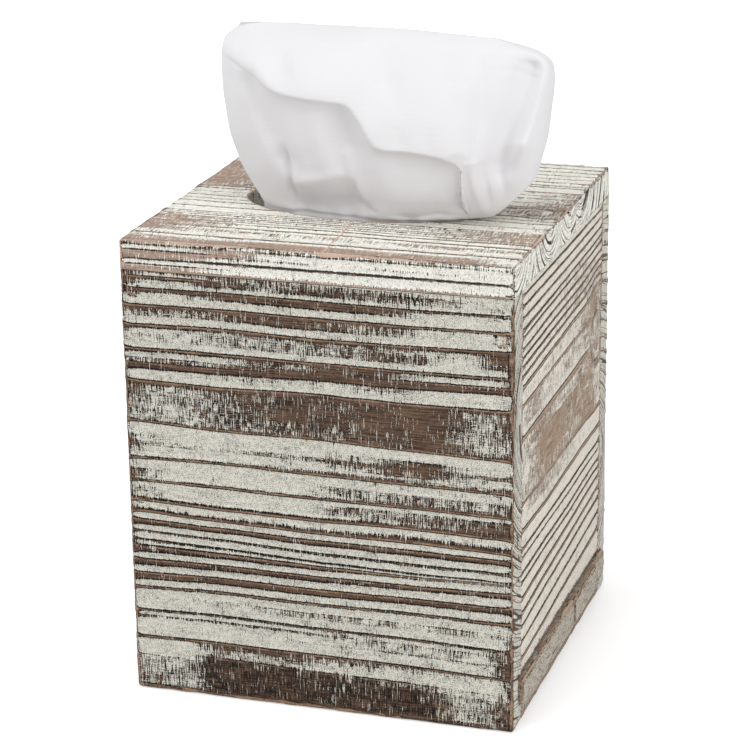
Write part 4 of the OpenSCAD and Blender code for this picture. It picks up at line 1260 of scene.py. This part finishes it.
def build_tissue(material):
    """The sheet, as a closed skin round its two plies. Its last ring lies on one line, where it is folded."""
    points = tissue_points()
    rows, columns = points.shape[:2]
    ids = np.arange(rows * columns).reshape(rows, columns)
    ids[-1, PLACES:] = ids[-1, PLACES - 2:0:-1]
    after = np.roll(ids, -1, 1)
    quads = np.stack([ids[:-1], after[:-1], after[1:], ids[1:]], -1).reshape(-1, 4)
    used, quads = np.unique(quads, return_inverse=True)
    mesh = bpy.data.meshes.new("tissue_sheet")
    faces = [list(dict.fromkeys(quad)) for quad in quads.reshape(-1, 4).tolist()]
    mesh.from_pydata((points.reshape(-1, 3)[used] * MM).tolist(), [], faces)
    mesh.polygons.foreach_set("use_smooth", np.ones(len(mesh.polygons), bool))
    mesh.materials.append(material)
    piece = bpy.data.objects.new("tissue_sheet", mesh)
    bpy.context.scene.collection.objects.link(piece)
    plies = piece.modifiers.new("two_plies", "SOLIDIFY")
    plies.thickness, plies.offset = PLIES * MM, -1
    return piece


tissue = build_tissue(two_ply_tissue)
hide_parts("tissue")
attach(tissue, "tissue_sheet")

# The camera of the photograph: angles in degrees, lengths in millimetres, and the focal length in pixels
AZIMUTH, ELEVATION, ROLL = 17.705, 18.608, -0.751
ASIDE, ABOVE, DISTANCE = -2.01, 96.79, 1038.0
FOCAL_PIXELS, PICTURE_PIXELS = 2760.8, 750
# The lamps look at the middle of the case
LAMP_AIM = Vector((0, 0, 0.09))
# Soft boxes: place and size in metres, and power in watts
LAMPS = {
    "soft_box_above": ((-0.35, -0.35, 1.5), 1.2, 11.5),
    "soft_box_front": ((-0.9, -1.5, 0.7), 1.0, 6.5),
    "soft_box_right": ((1.5, -0.6, 0.6), 1.0, 13.0),
    "soft_box_left": ((-1.6, -0.1, 0.5), 1.0, 3.6),
    "soft_box_back": ((-0.3, 1.7, 0.6), 1.0, 6.0),
}
# The room's glow on the object, and the floor's own glow near the object and away from it
ROOM_GLOW = 0.38
FLOOR_GLOW = {"From Min": 0.15, "From Max": 1.0, "To Min": 0.45, "To Max": 1.0}
# Half the width of the floor, in metres
FLOOR_HALF = 4


def look_through_camera():
    """A camera at the photograph's angle. It looks along a line that passes the origin aside and above."""
    azimuth, elevation, roll = np.radians([AZIMUTH, ELEVATION, ROLL])
    back = np.array([np.sin(azimuth) * np.cos(elevation), -np.cos(azimuth) * np.cos(elevation),
                     np.sin(elevation)])
    level = np.array([np.cos(azimuth), np.sin(azimuth), 0])
    upright = np.cross(back, level)
    right = np.cos(roll) * level + np.sin(roll) * upright
    up = -np.sin(roll) * level + np.cos(roll) * upright
    eye = (back * DISTANCE + right * ASIDE + up * ABOVE) * MM
    data = bpy.data.cameras.new("camera")
    data.sensor_width = 36
    data.lens = FOCAL_PIXELS / PICTURE_PIXELS * data.sensor_width
    data.clip_start, data.clip_end = 0.01, 20
    camera = bpy.data.objects.new("camera", data)
    bpy.context.scene.collection.objects.link(camera)
    turned = Matrix((right, up, back)).transposed().to_4x4()
    camera.matrix_world = Matrix.Translation(Vector(eye)) @ turned
    bpy.context.scene.camera = camera


def soft_lamp(name, place, size, watts):
    """A square soft box that looks at the object."""
    data = bpy.data.lights.new(name, "AREA")
    data.size, data.energy = size, watts
    lamp = bpy.data.objects.new(name, data)
    lamp.location = place
    lamp.rotation_mode = "QUATERNION"
    lamp.rotation_quaternion = (LAMP_AIM - Vector(place)).to_track_quat("-Z", "Y")
    bpy.context.scene.collection.objects.link(lamp)


def white_room():
    """A room that looks white to the camera, and lights the object less than that."""
    world = bpy.data.worlds.new("white_room")
    bpy.context.scene.world = world
    world.use_nodes = True
    world.node_tree.nodes.clear()
    add = partial(add_node, world.node_tree)
    ray = add("ShaderNodeLightPath", give="Is Camera Ray")
    strength = add("ShaderNodeMapRange", {"Value": ray, "To Min": ROOM_GLOW, "To Max": 1.0})
    glow = add("ShaderNodeBackground", {"Color": (1, 1, 1, 1), "Strength": strength})
    add("ShaderNodeOutputWorld", {"Surface": glow})


def paper_floor():
    """Matt white paper, which keeps the shadow. To the camera it glows as well, up to white far away."""
    material, add = new_material("white_paper_floor")
    paper = add("ShaderNodeBsdfDiffuse", {"Color": linear("#E9E9E9")})
    ray = add("ShaderNodeLightPath", give="Is Camera Ray")
    place = add("ShaderNodeTexCoord", give="Object")
    away = add("ShaderNodeVectorMath", {0: place}, give="Value", operation="LENGTH")
    strength = add("ShaderNodeMapRange", {"Value": away, **FLOOR_GLOW})
    glow = add("ShaderNodeEmission", {"Color": (1, 1, 1, 1), "Strength": strength})
    no_glow = add("ShaderNodeEmission", {"Strength": 0.0})
    seen_glow = add("ShaderNodeMixShader", {0: ray, 1: no_glow, 2: glow})
    surface = add("ShaderNodeAddShader", {0: paper, 1: seen_glow})
    add("ShaderNodeOutputMaterial", {"Surface": surface})
    return material


def lay_floor(material):
    """A flat square of floor under the object."""
    corners = FLOOR_HALF * np.array([[-1, -1, 0], [1, -1, 0], [1, 1, 0], [-1, 1, 0]])
    mesh = bpy.data.meshes.new("floor")
    mesh.from_pydata(corners.tolist(), [], [[0, 1, 2, 3]])
    mesh.materials.append(material)
    floor = bpy.data.objects.new("floor", mesh)
    bpy.context.scene.collection.objects.link(floor)


look_through_camera()
for name, (place, size, watts) in LAMPS.items():
    soft_lamp(name, place, size, watts)
white_room()
lay_floor(paper_floor())
bpy.context.scene.view_settings.view_transform = "Standard"
